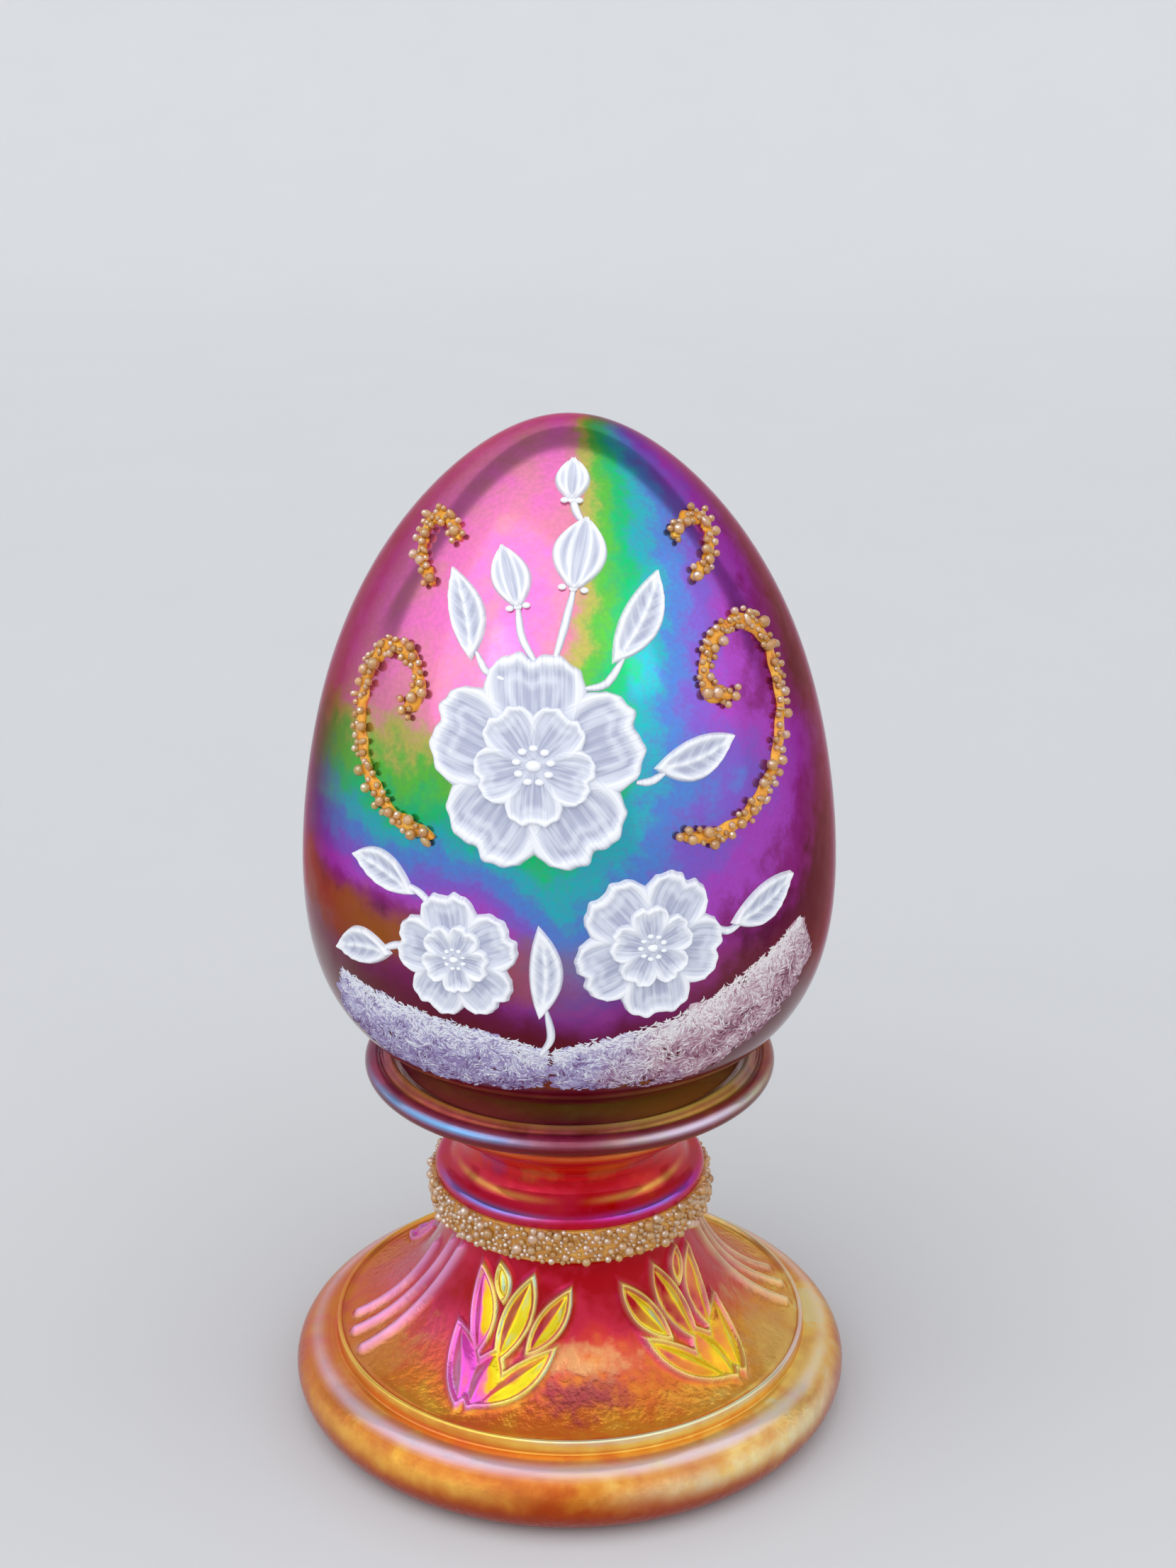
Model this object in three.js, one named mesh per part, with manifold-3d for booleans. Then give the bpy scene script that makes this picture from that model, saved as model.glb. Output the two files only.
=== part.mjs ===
// Glass egg on a pressed glass pedestal, about 134 mm tall, in two loose pieces.
// The hollow egg rests in the cup of the pedestal and lifts straight out.
// Raised white enamel, gold enamel lines and small glass beads are fired onto both.
// Millimetres, +Z up, origin at the middle of the foot's underside, front faces -Y.

import * as THREE from 'three';
import { mergeVertices } from 'three/addons/utils/BufferGeometryUtils.js';
import Module from 'manifold-3d';

const wasm = await Module();
wasm.setup();

// Pedestal sizes

const FOOT_RADIUS = 37.5;
const FOOT_ROLL_HALF_WIDTH = 5.4;
const FOOT_ROLL_HALF_HEIGHT = 4.65;
const REST_RING_WIDTH = 3.2;
const STEP_HEIGHT = 1.9;
const RIDGE_WIDTH = 0.9;
const RIDGE_RISE = 0.5;
const FOOT_WALL = 5.0;
const FOOT_CROWN_RISE = 0.6;
const REST_RING_CHAMFER = 0.9;
const COLLAR_RADIUS = 18.0;
const COLLAR_BOTTOM = 28.0;
const COLLAR_HEIGHT = 6.7;
const COLLAR_EDGE = 0.9;
const COLLAR_SKIRT = 0.5;
const NECK_RADIUS = 13.7;
const NECK_LENGTH = 7.5;
const NECK_TOP_FLARE = 1.3;
const NECK_FOOT_FLARE = 1.6;
const STEP_RING_RADIUS = 19.3;
const STEP_RING_EDGE = 0.8;
const STEP_RING_HEIGHT = 2.4;
const BOWL_RUN = 3.6;
const BOWL_DROP = 3.2;
const RIM_RADIUS = 26.95;
const RIM_ROLL_RADIUS = 1.35;
const RIM_HEIGHT_ABOVE_COLLAR = 14.7;
const RIM_BEAD_INSET = 3.2;
const RIM_BEAD_RISE = 1.8;
const RIM_BEAD_HALF_WIDTH = 0.65;
const RIM_GROOVE_DEPTH = 0.85;
const SEAT_RADIUS = 16.0;
const SEAT_RISE = 0.95;
const SEAT_SLOPE_RUN = 1.4;
const SEAT_SLOPE_DROP = 0.9;
const CUP_FLOOR_RADIUS = 11.8;
const CUP_DEPTH = 6.9;

// Pressed ornament of the foot: three ribs at each of the two mould seams, and four leaf sprigs.
// Angles are in degrees. A rib starts this far in front of its seam, and draws in further by the collar.

const PATTERN_TURN = 11;
const SEAM_TURN = 90;
const RIBS = [
  { ahead: 10.5, drawIn: 12 },
  { ahead: 2, drawIn: 13 },
  { ahead: -5.5, drawIn: 6 },
];
const RIB_WIDTH = 1.6;
const RIB_RISE = 0.6;
const RIB_SINK = 0.5;
const RIB_END_GAP = 0.4;
const RIB_TOP_GAP = 1.2;
const RIB_KNOTS = 5;
const SPRIG_SPACING = 77;
const SPRIG_TIP = 2.5;
const LEAFLET_RISE = 0.6;
const LEAFLET_SINK = 0.5;

// Egg sizes

const EGG_RADIUS = 32.6;
const EGG_HALF_HEIGHT = 42.8;
const EGG_TAPER = 0.224;
const EGG_SWELL = -0.196;
const EGG_FULLNESS = 0.208;
const EGG_WALL = 3.2;
const BLOW_HOLE_RADIUS = 7.0;

// Fired decoration

const FIT_GAP = 0.3;
const ENAMEL_THICKNESS = 0.7;
const DRIFT_THICKNESS = 0.4;
const GOLD_LINE_WIDTH = 2.6;
const GOLD_LINE_HEIGHT = 0.7;
const LINE_BEAD_RADIUS = 0.75;
const BAND_BEAD_RADIUS = 0.8;
const BAND_THICKNESS = 0.6;
const BAND_MARGIN_TOP = 1.5;
const BAND_MARGIN_BOTTOM = 0.5;
const BAND_BEAD_COUNT = 36;

// The spray is drawn in parts of the egg: so many out to its widest ring, and so many up its crown
const PARTS_OUT = 34;
const PARTS_UP = 72.3;

// Facets

const PEDESTAL_SIDES = 42;
const EGG_SIDES = 40;
const EGG_RINGS = 16;
const DISH_RINGS = 7;
const UNDER_RINGS = 5;

// Materials

const material = (color, roughness, metalness = 0) =>
  new THREE.MeshStandardMaterial({ color, roughness, metalness });
const rubyGlass = material(0x7a1440, 0.12, 0.35);
const amberGlass = material(0xc8541e, 0.14, 0.35);
const goldBeads = material(0xc99a5b, 0.35, 0.3);
const whiteEnamel = material(0xdcdce4, 0.45);
const paleStipple = material(0xb9a8c4, 0.8);

const radians = THREE.MathUtils.degToRad;
const vector = (x, y) => new THREE.Vector2(x, y);

/** Repeatable spread between 0 and 1 for bead sizes and places. */
function spread(index, salt) {
  const value = Math.sin(index * 12.9898 + salt * 78.233) * 43758.5453;
  return value - Math.floor(value);
}

/** Points of an elliptic arc, from one angle to another in degrees. */
function arc(centre, halfWidth, halfHeight, from, to, steps) {
  const points = [];
  for (let i = 0; i <= steps; i += 1) {
    const angle = radians(from + ((to - from) * i) / steps);
    points.push(vector(centre.x + halfWidth * Math.cos(angle), centre.y + halfHeight * Math.sin(angle)));
  }
  return points;
}

/** A closed body from vertices and triangles, ready to join, cut or show. */
function solidFrom(geometry) {
  geometry.deleteAttribute('normal');
  geometry.deleteAttribute('uv');
  const merged = mergeVertices(geometry, 1e-5);
  return new wasm.Manifold(new wasm.Mesh({
    numProp: 3,
    vertProperties: new Float32Array(merged.attributes.position.array),
    triVerts: new Uint32Array(merged.index.array),
  }));
}

function geometryFrom(solid) {
  const mesh = solid.getMesh();
  const geometry = new THREE.BufferGeometry();
  geometry.setAttribute('position', new THREE.BufferAttribute(mesh.vertProperties, 3));
  geometry.setIndex(new THREE.BufferAttribute(mesh.triVerts, 1));
  geometry.computeVertexNormals();
  return geometry;
}

function indexed(points, triangles) {
  const geometry = new THREE.BufferGeometry();
  const positions = points.flatMap((p) => [p.x, p.y, p.z]);
  geometry.setAttribute('position', new THREE.Float32BufferAttribute(positions, 3));
  geometry.setIndex(triangles.flat());
  return geometry;
}

/** Turns a profile of (radius, height) points round the upright axis. */
function turned(profile, sides) {
  const geometry = new THREE.LatheGeometry(profile, sides);
  geometry.rotateX(Math.PI / 2);
  return geometry;
}

/** A surface of revolution with a sheet laid on it: azimuth from the front, and length along its profile. */
class TurnedSurface {
  constructor(profile, zeroIndex) {
    this.profile = profile;
    this.lengths = [0];
    for (let i = 1; i < profile.length; i += 1) {
      this.lengths.push(this.lengths[i - 1] + profile[i].distanceTo(profile[i - 1]));
    }
    this.zero = this.lengths[zeroIndex];
  }

  /** Radius, height and outward normal of the profile at a length above the zero ring. */
  at(length) {
    const wanted = THREE.MathUtils.clamp(this.zero + length, 0, this.lengths[this.lengths.length - 1]);
    let i = 1;
    while (i < this.lengths.length - 1 && this.lengths[i] < wanted) i += 1;
    const start = this.profile[i - 1];
    const end = this.profile[i];
    const share = (wanted - this.lengths[i - 1]) / (this.lengths[i] - this.lengths[i - 1]);
    const point = start.clone().lerp(end, share);
    const along = end.clone().sub(start).normalize();
    return { radius: point.x, height: point.y, normal: vector(along.y, -along.x) };
  }

  /** The point at an azimuth and length, raised off the surface by an offset. */
  point(azimuth, length, offset) {
    const ring = this.at(length);
    const radius = ring.radius + ring.normal.x * offset;
    const height = ring.height + ring.normal.y * offset;
    return new THREE.Vector3(radius * Math.sin(azimuth), -radius * Math.cos(azimuth), height);
  }

  /** The azimuth reached at a distance across from the front, at a length. */
  azimuthAt(across, length) {
    return across / this.at(length).radius;
  }
}

// Egg surface

/** The egg's outline at a polar angle, measured from its top. */
function eggOutline(angle, centreHeight) {
  const c = Math.cos(angle);
  const shape = 1 - EGG_TAPER * c - EGG_SWELL * c * c - EGG_FULLNESS * c * c * c;
  return vector(EGG_RADIUS * Math.sin(angle) * shape, centreHeight + EGG_HALF_HEIGHT * c);
}

/** The polar angle in the lower half at which the egg has a given radius. */
function lowerAngleAt(radius) {
  let near = Math.PI * 0.6;
  let far = Math.PI;
  for (let i = 0; i < 50; i += 1) {
    const middle = (near + far) / 2;
    if (eggOutline(middle, 0).x > radius) near = middle;
    else far = middle;
  }
  return near;
}

// Heights up the pedestal

const rollCentre = vector(FOOT_RADIUS - FOOT_ROLL_HALF_WIDTH, FOOT_ROLL_HALF_HEIGHT);
const rollTop = 2 * FOOT_ROLL_HALF_HEIGHT;
const ridgeRadius = rollCentre.x - 0.2;
const ridgeTop = rollTop - 0.1 + STEP_HEIGHT;
const dishEnd = vector(ridgeRadius - RIDGE_WIDTH, ridgeTop - RIDGE_RISE);
const collarTop = COLLAR_BOTTOM + COLLAR_HEIGHT;
const rimHeight = collarTop + RIM_HEIGHT_ABOVE_COLLAR;
const rimCentre = vector(RIM_RADIUS - RIM_ROLL_RADIUS, rimHeight);
const rimBead = vector(RIM_RADIUS - RIM_BEAD_INSET, rimHeight + RIM_BEAD_RISE);
const seatHeight = rimHeight + SEAT_RISE;
const cupFloor = seatHeight - CUP_DEPTH;
const seatAngle = lowerAngleAt(SEAT_RADIUS);
const eggCentreHeight = seatHeight + FIT_GAP - eggOutline(seatAngle, 0).y;

// Dish of the foot, from the collar down to the ridge

const dishTop = vector(COLLAR_RADIUS - 1.7, COLLAR_BOTTOM - 0.8);
const dishCurve = new THREE.CubicBezierCurve(
  dishTop,
  vector(dishTop.x + 1.1, dishTop.y - 5.7),
  vector(dishEnd.x - 9.0, dishEnd.y + 2.4),
  dishEnd,
);
const dishPoints = dishCurve.getPoints(DISH_RINGS);
const dishSurface = new TurnedSurface(dishCurve.getPoints(60).reverse(), 0);

/** The hollow under the foot follows the dish at the thickness of the glass. */
function underDish() {
  const points = [];
  for (let i = 0; i <= UNDER_RINGS; i += 1) {
    const share = 1 - i / UNDER_RINGS;
    const point = dishCurve.getPoint(share);
    const along = dishCurve.getTangent(share);
    points.push(vector(point.x + along.y * FOOT_WALL, point.y - along.x * FOOT_WALL));
  }
  return points;
}

function pedestalProfile() {
  const waist = collarTop + NECK_LENGTH / 2;
  const neckTop = collarTop + NECK_LENGTH;
  const hollow = underDish();
  const restHalf = REST_RING_WIDTH / 2;
  return [
    vector(0, cupFloor),
    vector(CUP_FLOOR_RADIUS, cupFloor),
    vector(SEAT_RADIUS - SEAT_SLOPE_RUN, seatHeight - SEAT_SLOPE_DROP),
    vector(SEAT_RADIUS, seatHeight),
    vector(rimBead.x - 2 * RIM_BEAD_HALF_WIDTH, rimBead.y - RIM_GROOVE_DEPTH),
    vector(rimBead.x - RIM_BEAD_HALF_WIDTH, rimBead.y - RIM_GROOVE_DEPTH / 2),
    rimBead,
    vector(rimBead.x + RIM_BEAD_HALF_WIDTH, rimBead.y - RIM_GROOVE_DEPTH / 2),
    vector(rimBead.x + 1.7 * RIM_BEAD_HALF_WIDTH, rimBead.y - RIM_GROOVE_DEPTH),
    ...arc(rimCentre, RIM_ROLL_RADIUS, RIM_ROLL_RADIUS, 100, -100, 5),
    vector(rimCentre.x - BOWL_RUN, rimHeight - BOWL_DROP),
    vector(STEP_RING_RADIUS + STEP_RING_EDGE / 3, neckTop + STEP_RING_HEIGHT),
    vector(STEP_RING_RADIUS, neckTop + STEP_RING_HEIGHT / 2),
    vector(STEP_RING_RADIUS - STEP_RING_EDGE, neckTop + STEP_RING_EDGE / 3),
    vector(NECK_RADIUS + NECK_TOP_FLARE, neckTop - NECK_TOP_FLARE),
    vector(NECK_RADIUS, waist + NECK_FOOT_FLARE / 3),
    vector(NECK_RADIUS + NECK_FOOT_FLARE / 4, waist - NECK_FOOT_FLARE),
    vector(NECK_RADIUS + NECK_FOOT_FLARE, collarTop + NECK_FOOT_FLARE / 2),
    ...arc(vector(COLLAR_RADIUS - COLLAR_EDGE, collarTop - COLLAR_EDGE), COLLAR_EDGE, COLLAR_EDGE, 90, 0, 2),
    vector(COLLAR_RADIUS, COLLAR_BOTTOM + COLLAR_SKIRT / 2),
    vector(COLLAR_RADIUS - COLLAR_SKIRT, COLLAR_BOTTOM),
    ...dishPoints,
    vector(ridgeRadius - RIDGE_WIDTH / 3, ridgeTop),
    vector(ridgeRadius, ridgeTop - RIDGE_WIDTH / 3),
    vector(ridgeRadius + RIDGE_WIDTH / 9, rollTop - RIDGE_WIDTH / 18),
    ...arc(rollCentre, FOOT_ROLL_HALF_WIDTH, FOOT_ROLL_HALF_HEIGHT, 80, -66, 7),
    vector(rollCentre.x + restHalf, 0),
    vector(rollCentre.x - restHalf, 0),
    vector(rollCentre.x - restHalf - REST_RING_CHAMFER, REST_RING_CHAMFER),
    ...hollow,
    vector(0, hollow[hollow.length - 1].y + FOOT_CROWN_RISE),
  ].reverse();
}

/** Radius in a direction of a pointed oval, half as long and half as wide as given. */
function pointedOval(direction, halfLength, halfWidth) {
  const rise = Math.abs(Math.sin(direction));
  const curve = (halfWidth * Math.cos(direction) ** 2) / halfLength ** 2;
  if (curve < 1e-9) return halfWidth;
  return (Math.sqrt(rise * rise + 4 * curve * halfWidth) - rise) / (2 * curve);
}

/**
 * A raised patch that lies on a turned surface. Its outline is a radius for each direction, its
 * crown bulges from the edge to the middle, and its back lies at the given offset.
 */
function patch(surface, { across, along, azimuth, turn, outline, segments, rings, back, thickness, bend = 0 }) {
  const centreAzimuth = azimuth ?? surface.azimuthAt(across, along);
  const local = (direction, share) => {
    const reach = outline(direction) * share;
    const x = reach * Math.cos(direction);
    const y = reach * Math.sin(direction) + bend * x * x;
    const du = x * Math.cos(turn) - y * Math.sin(turn);
    const dv = x * Math.sin(turn) + y * Math.cos(turn);
    return [du, dv];
  };
  const lay = ([du, dv], offset) => {
    const length = along + dv;
    return surface.point(centreAzimuth + surface.azimuthAt(du, length), length, offset);
  };
  const points = [];
  const triangles = [];
  for (const top of [true, false]) {
    const base = points.length;
    points.push(lay([0, 0], top ? back + thickness : back));
    for (let ring = 1; ring <= rings; ring += 1) {
      const share = ring / rings;
      const rise = thickness * Math.sqrt(Math.max(0, 1 - 0.75 * share * share));
      for (let i = 0; i < segments; i += 1) {
        points.push(lay(local((2 * Math.PI * i) / segments, share), top ? back + rise : back));
      }
    }
    const at = (ring, i) => base + 1 + (ring - 1) * segments + (i % segments);
    const push = (a, b, c) => triangles.push(top ? [a, b, c] : [a, c, b]);
    for (let i = 0; i < segments; i += 1) {
      push(base, at(1, i), at(1, i + 1));
      for (let ring = 1; ring < rings; ring += 1) {
        push(at(ring, i), at(ring + 1, i), at(ring + 1, i + 1));
        push(at(ring, i), at(ring + 1, i + 1), at(ring, i + 1));
      }
    }
  }
  const half = 1 + rings * segments;
  const edge = 1 + (rings - 1) * segments;
  for (let i = 0; i < segments; i += 1) {
    const next = (i + 1) % segments;
    triangles.push([edge + i, half + edge + i, half + edge + next]);
    triangles.push([edge + i, half + edge + next, edge + next]);
  }
  return indexed(points, triangles);
}

/** A low rounded line that follows a path of (across, along) points on a turned surface. */
function ribbon(surface, path, { steps, width, back, height, azimuthOffset = 0, fixedAzimuth = false }) {
  const points = [];
  const triangles = [];
  const section = [[-0.5, 0], [0.5, 0], [0.42, 0.6], [0, 1], [-0.42, 0.6]];
  const sides = section.length;
  for (let i = 0; i <= steps; i += 1) {
    const middle = path.getPoint(i / steps);
    const tangent = path.getTangent(i / steps);
    const taper = i === 0 || i === steps ? 0.45 : 1;
    for (const [side, rise] of section) {
      const du = -tangent.y * side * width * taper;
      const dv = tangent.x * side * width * taper;
      const length = middle.y + dv;
      const azimuth = fixedAzimuth
        ? azimuthOffset + middle.x / surface.at(middle.y).radius + surface.azimuthAt(du, length)
        : azimuthOffset + surface.azimuthAt(middle.x + du, length);
      points.push(surface.point(azimuth, length, back + rise * height));
    }
  }
  for (let i = 0; i < steps; i += 1) {
    for (let j = 0; j < sides; j += 1) {
      const a = i * sides + j;
      const b = i * sides + ((j + 1) % sides);
      triangles.push([a, b + sides, a + sides], [a, b, b + sides]);
    }
  }
  for (let j = 1; j < sides - 1; j += 1) {
    const last = steps * sides;
    triangles.push([0, j + 1, j], [last, last + j, last + j + 1]);
  }
  return indexed(points, triangles);
}

function bead(centre, radius) {
  const geometry = new THREE.IcosahedronGeometry(radius, 0);
  geometry.rotateZ(centre.x * 7 + centre.z * 3);
  geometry.translate(centre.x, centre.y, centre.z);
  return solidFrom(geometry);
}

function mesh(name, geometry, look) {
  const item = new THREE.Mesh(geometry, look);
  item.name = name;
  return item;
}

// Pedestal

/** Three ribs at each mould seam, drawn in towards the front as they climb to the collar. */
function ribs() {
  const solids = [];
  const climb = dishSurface.lengths[dishSurface.lengths.length - 1] - RIB_END_GAP - RIB_TOP_GAP;
  for (const side of [-1, 1]) {
    for (const rib of RIBS) {
      const places = [];
      for (let i = 0; i <= RIB_KNOTS; i += 1) {
        const share = i / RIB_KNOTS;
        const length = RIB_END_GAP + climb * share;
        const azimuth = radians(-side * (rib.ahead + rib.drawIn * share ** 2.4));
        places.push(vector(azimuth * dishSurface.at(length).radius, length));
      }
      const path = new THREE.SplineCurve(places);
      solids.push(solidFrom(ribbon(dishSurface, path, {
        steps: 7,
        width: RIB_WIDTH,
        back: -RIB_SINK,
        height: RIB_SINK + RIB_RISE,
        azimuthOffset: radians(PATTERN_TURN + side * SEAM_TURN),
        fixedAzimuth: true,
      })));
    }
  }
  return solids;
}

// A sprig's six leaflets: across and up from its tip, direction in degrees, length, width and bend
const LEAFLETS = [
  { across: -2.9, up: 5.5, turn: 117, length: 12.4, width: 5.0, bend: 0.02 },
  { across: 4.7, up: 5.0, turn: 47, length: 13.4, width: 4.0, bend: 0.01 },
  { across: 6.6, up: 13.0, turn: 60, length: 10.6, width: 3.6, bend: 0.01 },
  { across: 2.2, up: 12.9, turn: 77, length: 12.8, width: 3.8, bend: 0 },
  { across: -2.5, up: 12.9, turn: 104, length: 12.4, width: 3.6, bend: 0.01 },
  { across: -0.6, up: 17.2, turn: 105, length: 5.4, width: 2.0, bend: 0 },
];

/** Pressed leaf sprigs, two on the front and two on the back, mirrored about the middle of each. */
function sprigs() {
  const solids = [];
  for (const half of [0, 2 * SEAM_TURN]) {
    for (const side of [-0.5, 0.5]) {
      const inward = side > 0 ? -1 : 1;
      const tip = radians(PATTERN_TURN + half + side * SPRIG_SPACING);
      for (const leaflet of LEAFLETS) {
        const along = SPRIG_TIP + leaflet.up;
        const across = inward * leaflet.across;
        solids.push(solidFrom(patch(dishSurface, {
          along,
          azimuth: tip + across / dishSurface.at(along).radius,
          turn: inward > 0 ? radians(leaflet.turn) : radians(180 - leaflet.turn),
          bend: inward * leaflet.bend,
          outline: (direction) => pointedOval(direction, leaflet.length / 2, leaflet.width / 2),
          segments: 8,
          rings: 1,
          back: -LEAFLET_SINK,
          thickness: LEAFLET_SINK + LEAFLET_RISE,
        })));
      }
    }
  }
  return solids;
}

function pedestalStand() {
  let body = solidFrom(turned(pedestalProfile(), PEDESTAL_SIDES));
  for (const relief of [...ribs(), ...sprigs()]) body = body.add(relief);
  return geometryFrom(body);
}

/** A gold enamel band round the collar, thick with small glass beads. */
function neckBeadBand() {
  const inner = COLLAR_RADIUS + FIT_GAP;
  const outer = inner + BAND_THICKNESS;
  const low = COLLAR_BOTTOM + BAND_MARGIN_BOTTOM;
  const high = collarTop - BAND_MARGIN_TOP;
  const ring = [vector(inner, low), vector(outer, low), vector(outer, high), vector(inner, high), vector(inner, low)];
  let body = solidFrom(turned(ring, PEDESTAL_SIDES));
  for (let i = 0; i < BAND_BEAD_COUNT; i += 1) {
    const azimuth = (2 * Math.PI * (i + 0.4 * spread(i, 1))) / BAND_BEAD_COUNT;
    const radius = BAND_BEAD_RADIUS * (0.8 + 0.3 * spread(i, 2));
    const height = low + radius + (high - low - 2 * radius) * ((i * 0.381966) % 1);
    const out = outer + 0.1;
    body = body.add(bead(new THREE.Vector3(out * Math.sin(azimuth), -out * Math.cos(azimuth), height), radius));
  }
  return geometryFrom(body);
}

// Egg

const eggOuter = [];
for (let i = 0; i <= 240; i += 1) eggOuter.push(eggOutline(Math.PI * (1 - i / 240), eggCentreHeight));
const widest = eggOuter.reduce((best, point, i) => (point.x > eggOuter[best].x ? i : best), 0);
const eggSurface = new TurnedSurface(eggOuter, widest);
const crownLength = eggSurface.lengths[eggSurface.lengths.length - 1] - eggSurface.zero;
const part = vector(eggOuter[widest].x / PARTS_OUT, crownLength / PARTS_UP);
const drawnScale = Math.min(part.x, part.y);
const drawnPoint = ([across, up]) => vector(across * part.x, up * part.y);

/** The hollow blown shell, open at its hidden lower end. */
function eggShell() {
  const holeAngle = lowerAngleAt(BLOW_HOLE_RADIUS);
  const outside = [];
  const inside = [];
  for (let i = 0; i <= EGG_RINGS; i += 1) {
    const angle = (holeAngle * i) / EGG_RINGS;
    const point = eggOutline(angle, eggCentreHeight);
    const along = eggOutline(angle + 0.001, eggCentreHeight).sub(eggOutline(angle - 0.001, eggCentreHeight));
    along.normalize();
    outside.push(point);
    inside.push(vector(Math.max(point.x + along.y * EGG_WALL, 0), point.y - along.x * EGG_WALL));
  }
  outside[0].x = 0;
  inside[0].x = 0;
  const lip = outside[outside.length - 1];
  inside[inside.length - 1] = vector(lip.x, lip.y + EGG_WALL);
  const profile = [...outside, ...inside.filter((_, i) => i % 2 === 0).reverse()].reverse();
  return geometryFrom(solidFrom(turned(profile, EGG_SIDES)));
}

// White enamel flowers: across and up from the front of the widest ring, in parts of the egg

const BLOSSOMS = [
  { name: 'blossom_large', across: -4, up: 24, radius: 13, turn: 90 },
  { name: 'blossom_middle', across: 9.5, up: 2.5, radius: 9.3, turn: 60 },
  { name: 'blossom_small', across: -13.5, up: 0.5, radius: 8, turn: 100 },
];

const LEAVES = [
  { across: -23.6, up: 9.2, turn: 165, length: 10.4, width: 4.6 },
  { across: -12.2, up: 40.6, turn: 105, length: 11, width: 5 },
  { across: 8.4, up: 40.2, turn: 62, length: 12, width: 5.2 },
  { across: 15.2, up: 23.6, turn: 12, length: 11, width: 5 },
  { across: 25.2, up: 4.6, turn: 20, length: 11, width: 5 },
  { across: -27.6, up: -1.4, turn: 192, length: 10.5, width: 4.8 },
  { across: -2.7, up: -0.5, turn: 90, length: 12, width: 4 },
];

const BUDS = [
  { across: 1.2, up: 48.5, turn: 80, length: 9.5, width: 6.4 },
  { across: -6.8, up: 45.4, turn: 105, length: 8, width: 5 },
  { across: 0.4, up: 58.4, turn: 88, length: 6.5, width: 4.2 },
];

const petalled = (radius) => (direction) =>
  radius * (0.74 + 0.26 * Math.abs(Math.cos(2.5 * direction)) ** 0.7);

/** Raised white enamel laid on the egg with the fit gap behind it. */
function enamel(item, outline, segments, rings) {
  const place = drawnPoint([item.across, item.up]);
  return geometryFrom(solidFrom(patch(eggSurface, {
    across: place.x,
    along: place.y,
    turn: radians(item.turn),
    outline: (direction) => outline(direction) * drawnScale,
    segments,
    rings,
    back: FIT_GAP,
    thickness: ENAMEL_THICKNESS,
  })));
}

const blossom = (item) => enamel(item, petalled(item.radius), 30, 3);
const leaf = (item) => enamel(item, (d) => pointedOval(d, item.length / 2, item.width / 2), 14, 2);

// Beaded gold scrolls: points of each curve, in parts of the egg

const SCROLLS = [
  {
    name: 'gold_scroll_left',
    points: [[-16, 14.5], [-22, 16], [-27, 21], [-28.4, 28], [-25.4, 34], [-20.6, 34.6], [-18.4, 31.2], [-20.6, 28]],
    steps: 20,
    beads: 16,
  },
  {
    name: 'gold_scroll_right',
    points: [[12.6, 15], [19, 14.6], [25.4, 18.4], [29, 25.6], [28, 33.6], [22.8, 38], [17.4, 36.2], [16.6, 31.4], [20.6, 29.6]],
    steps: 23,
    beads: 19,
  },
  {
    name: 'gold_scroll_small_left',
    points: [[-17.2, 43], [-20, 46], [-19.8, 50], [-16, 51.2], [-13.6, 49]],
    steps: 11,
    beads: 7,
  },
  {
    name: 'gold_scroll_small_right',
    points: [[15.2, 44], [18.6, 46.4], [19, 50.2], [15.4, 51.4], [12.8, 49.4]],
    steps: 11,
    beads: 7,
  },
];

/** A gold enamel line with glass beads sunk into it. */
function goldScroll(item) {
  const path = new THREE.SplineCurve(item.points.map(drawnPoint));
  let body = solidFrom(ribbon(eggSurface, path, {
    steps: item.steps,
    width: GOLD_LINE_WIDTH * drawnScale,
    back: FIT_GAP,
    height: GOLD_LINE_HEIGHT,
  }));
  for (let i = 0; i < item.beads; i += 1) {
    const share = (i + 0.5) / item.beads;
    const place = path.getPointAt(share);
    const tangent = path.getTangentAt(share);
    const radius = LINE_BEAD_RADIUS * (0.75 + 0.4 * spread(i, 5));
    const aside = (GOLD_LINE_WIDTH / 2) * drawnScale * (1.3 * spread(i, 6) - 0.65);
    const length = place.y + tangent.x * aside;
    const azimuth = eggSurface.azimuthAt(place.x - tangent.y * aside, length);
    body = body.add(bead(eggSurface.point(azimuth, length, FIT_GAP + radius + 0.15), radius));
  }
  return geometryFrom(body);
}

// Stippled pale ground under the flowers: the middle line of each drift and its width, in parts of the egg

const DRIFTS = [
  { name: 'stipple_left', points: [[-33, -10], [-21, -13.4], [-3.2, -14.6]], width: 11, steps: 12 },
  { name: 'stipple_right', points: [[-1.2, -14.6], [13, -13.2], [24, -8.8], [34, -2.6]], width: 11, steps: 14 },
];

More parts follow.
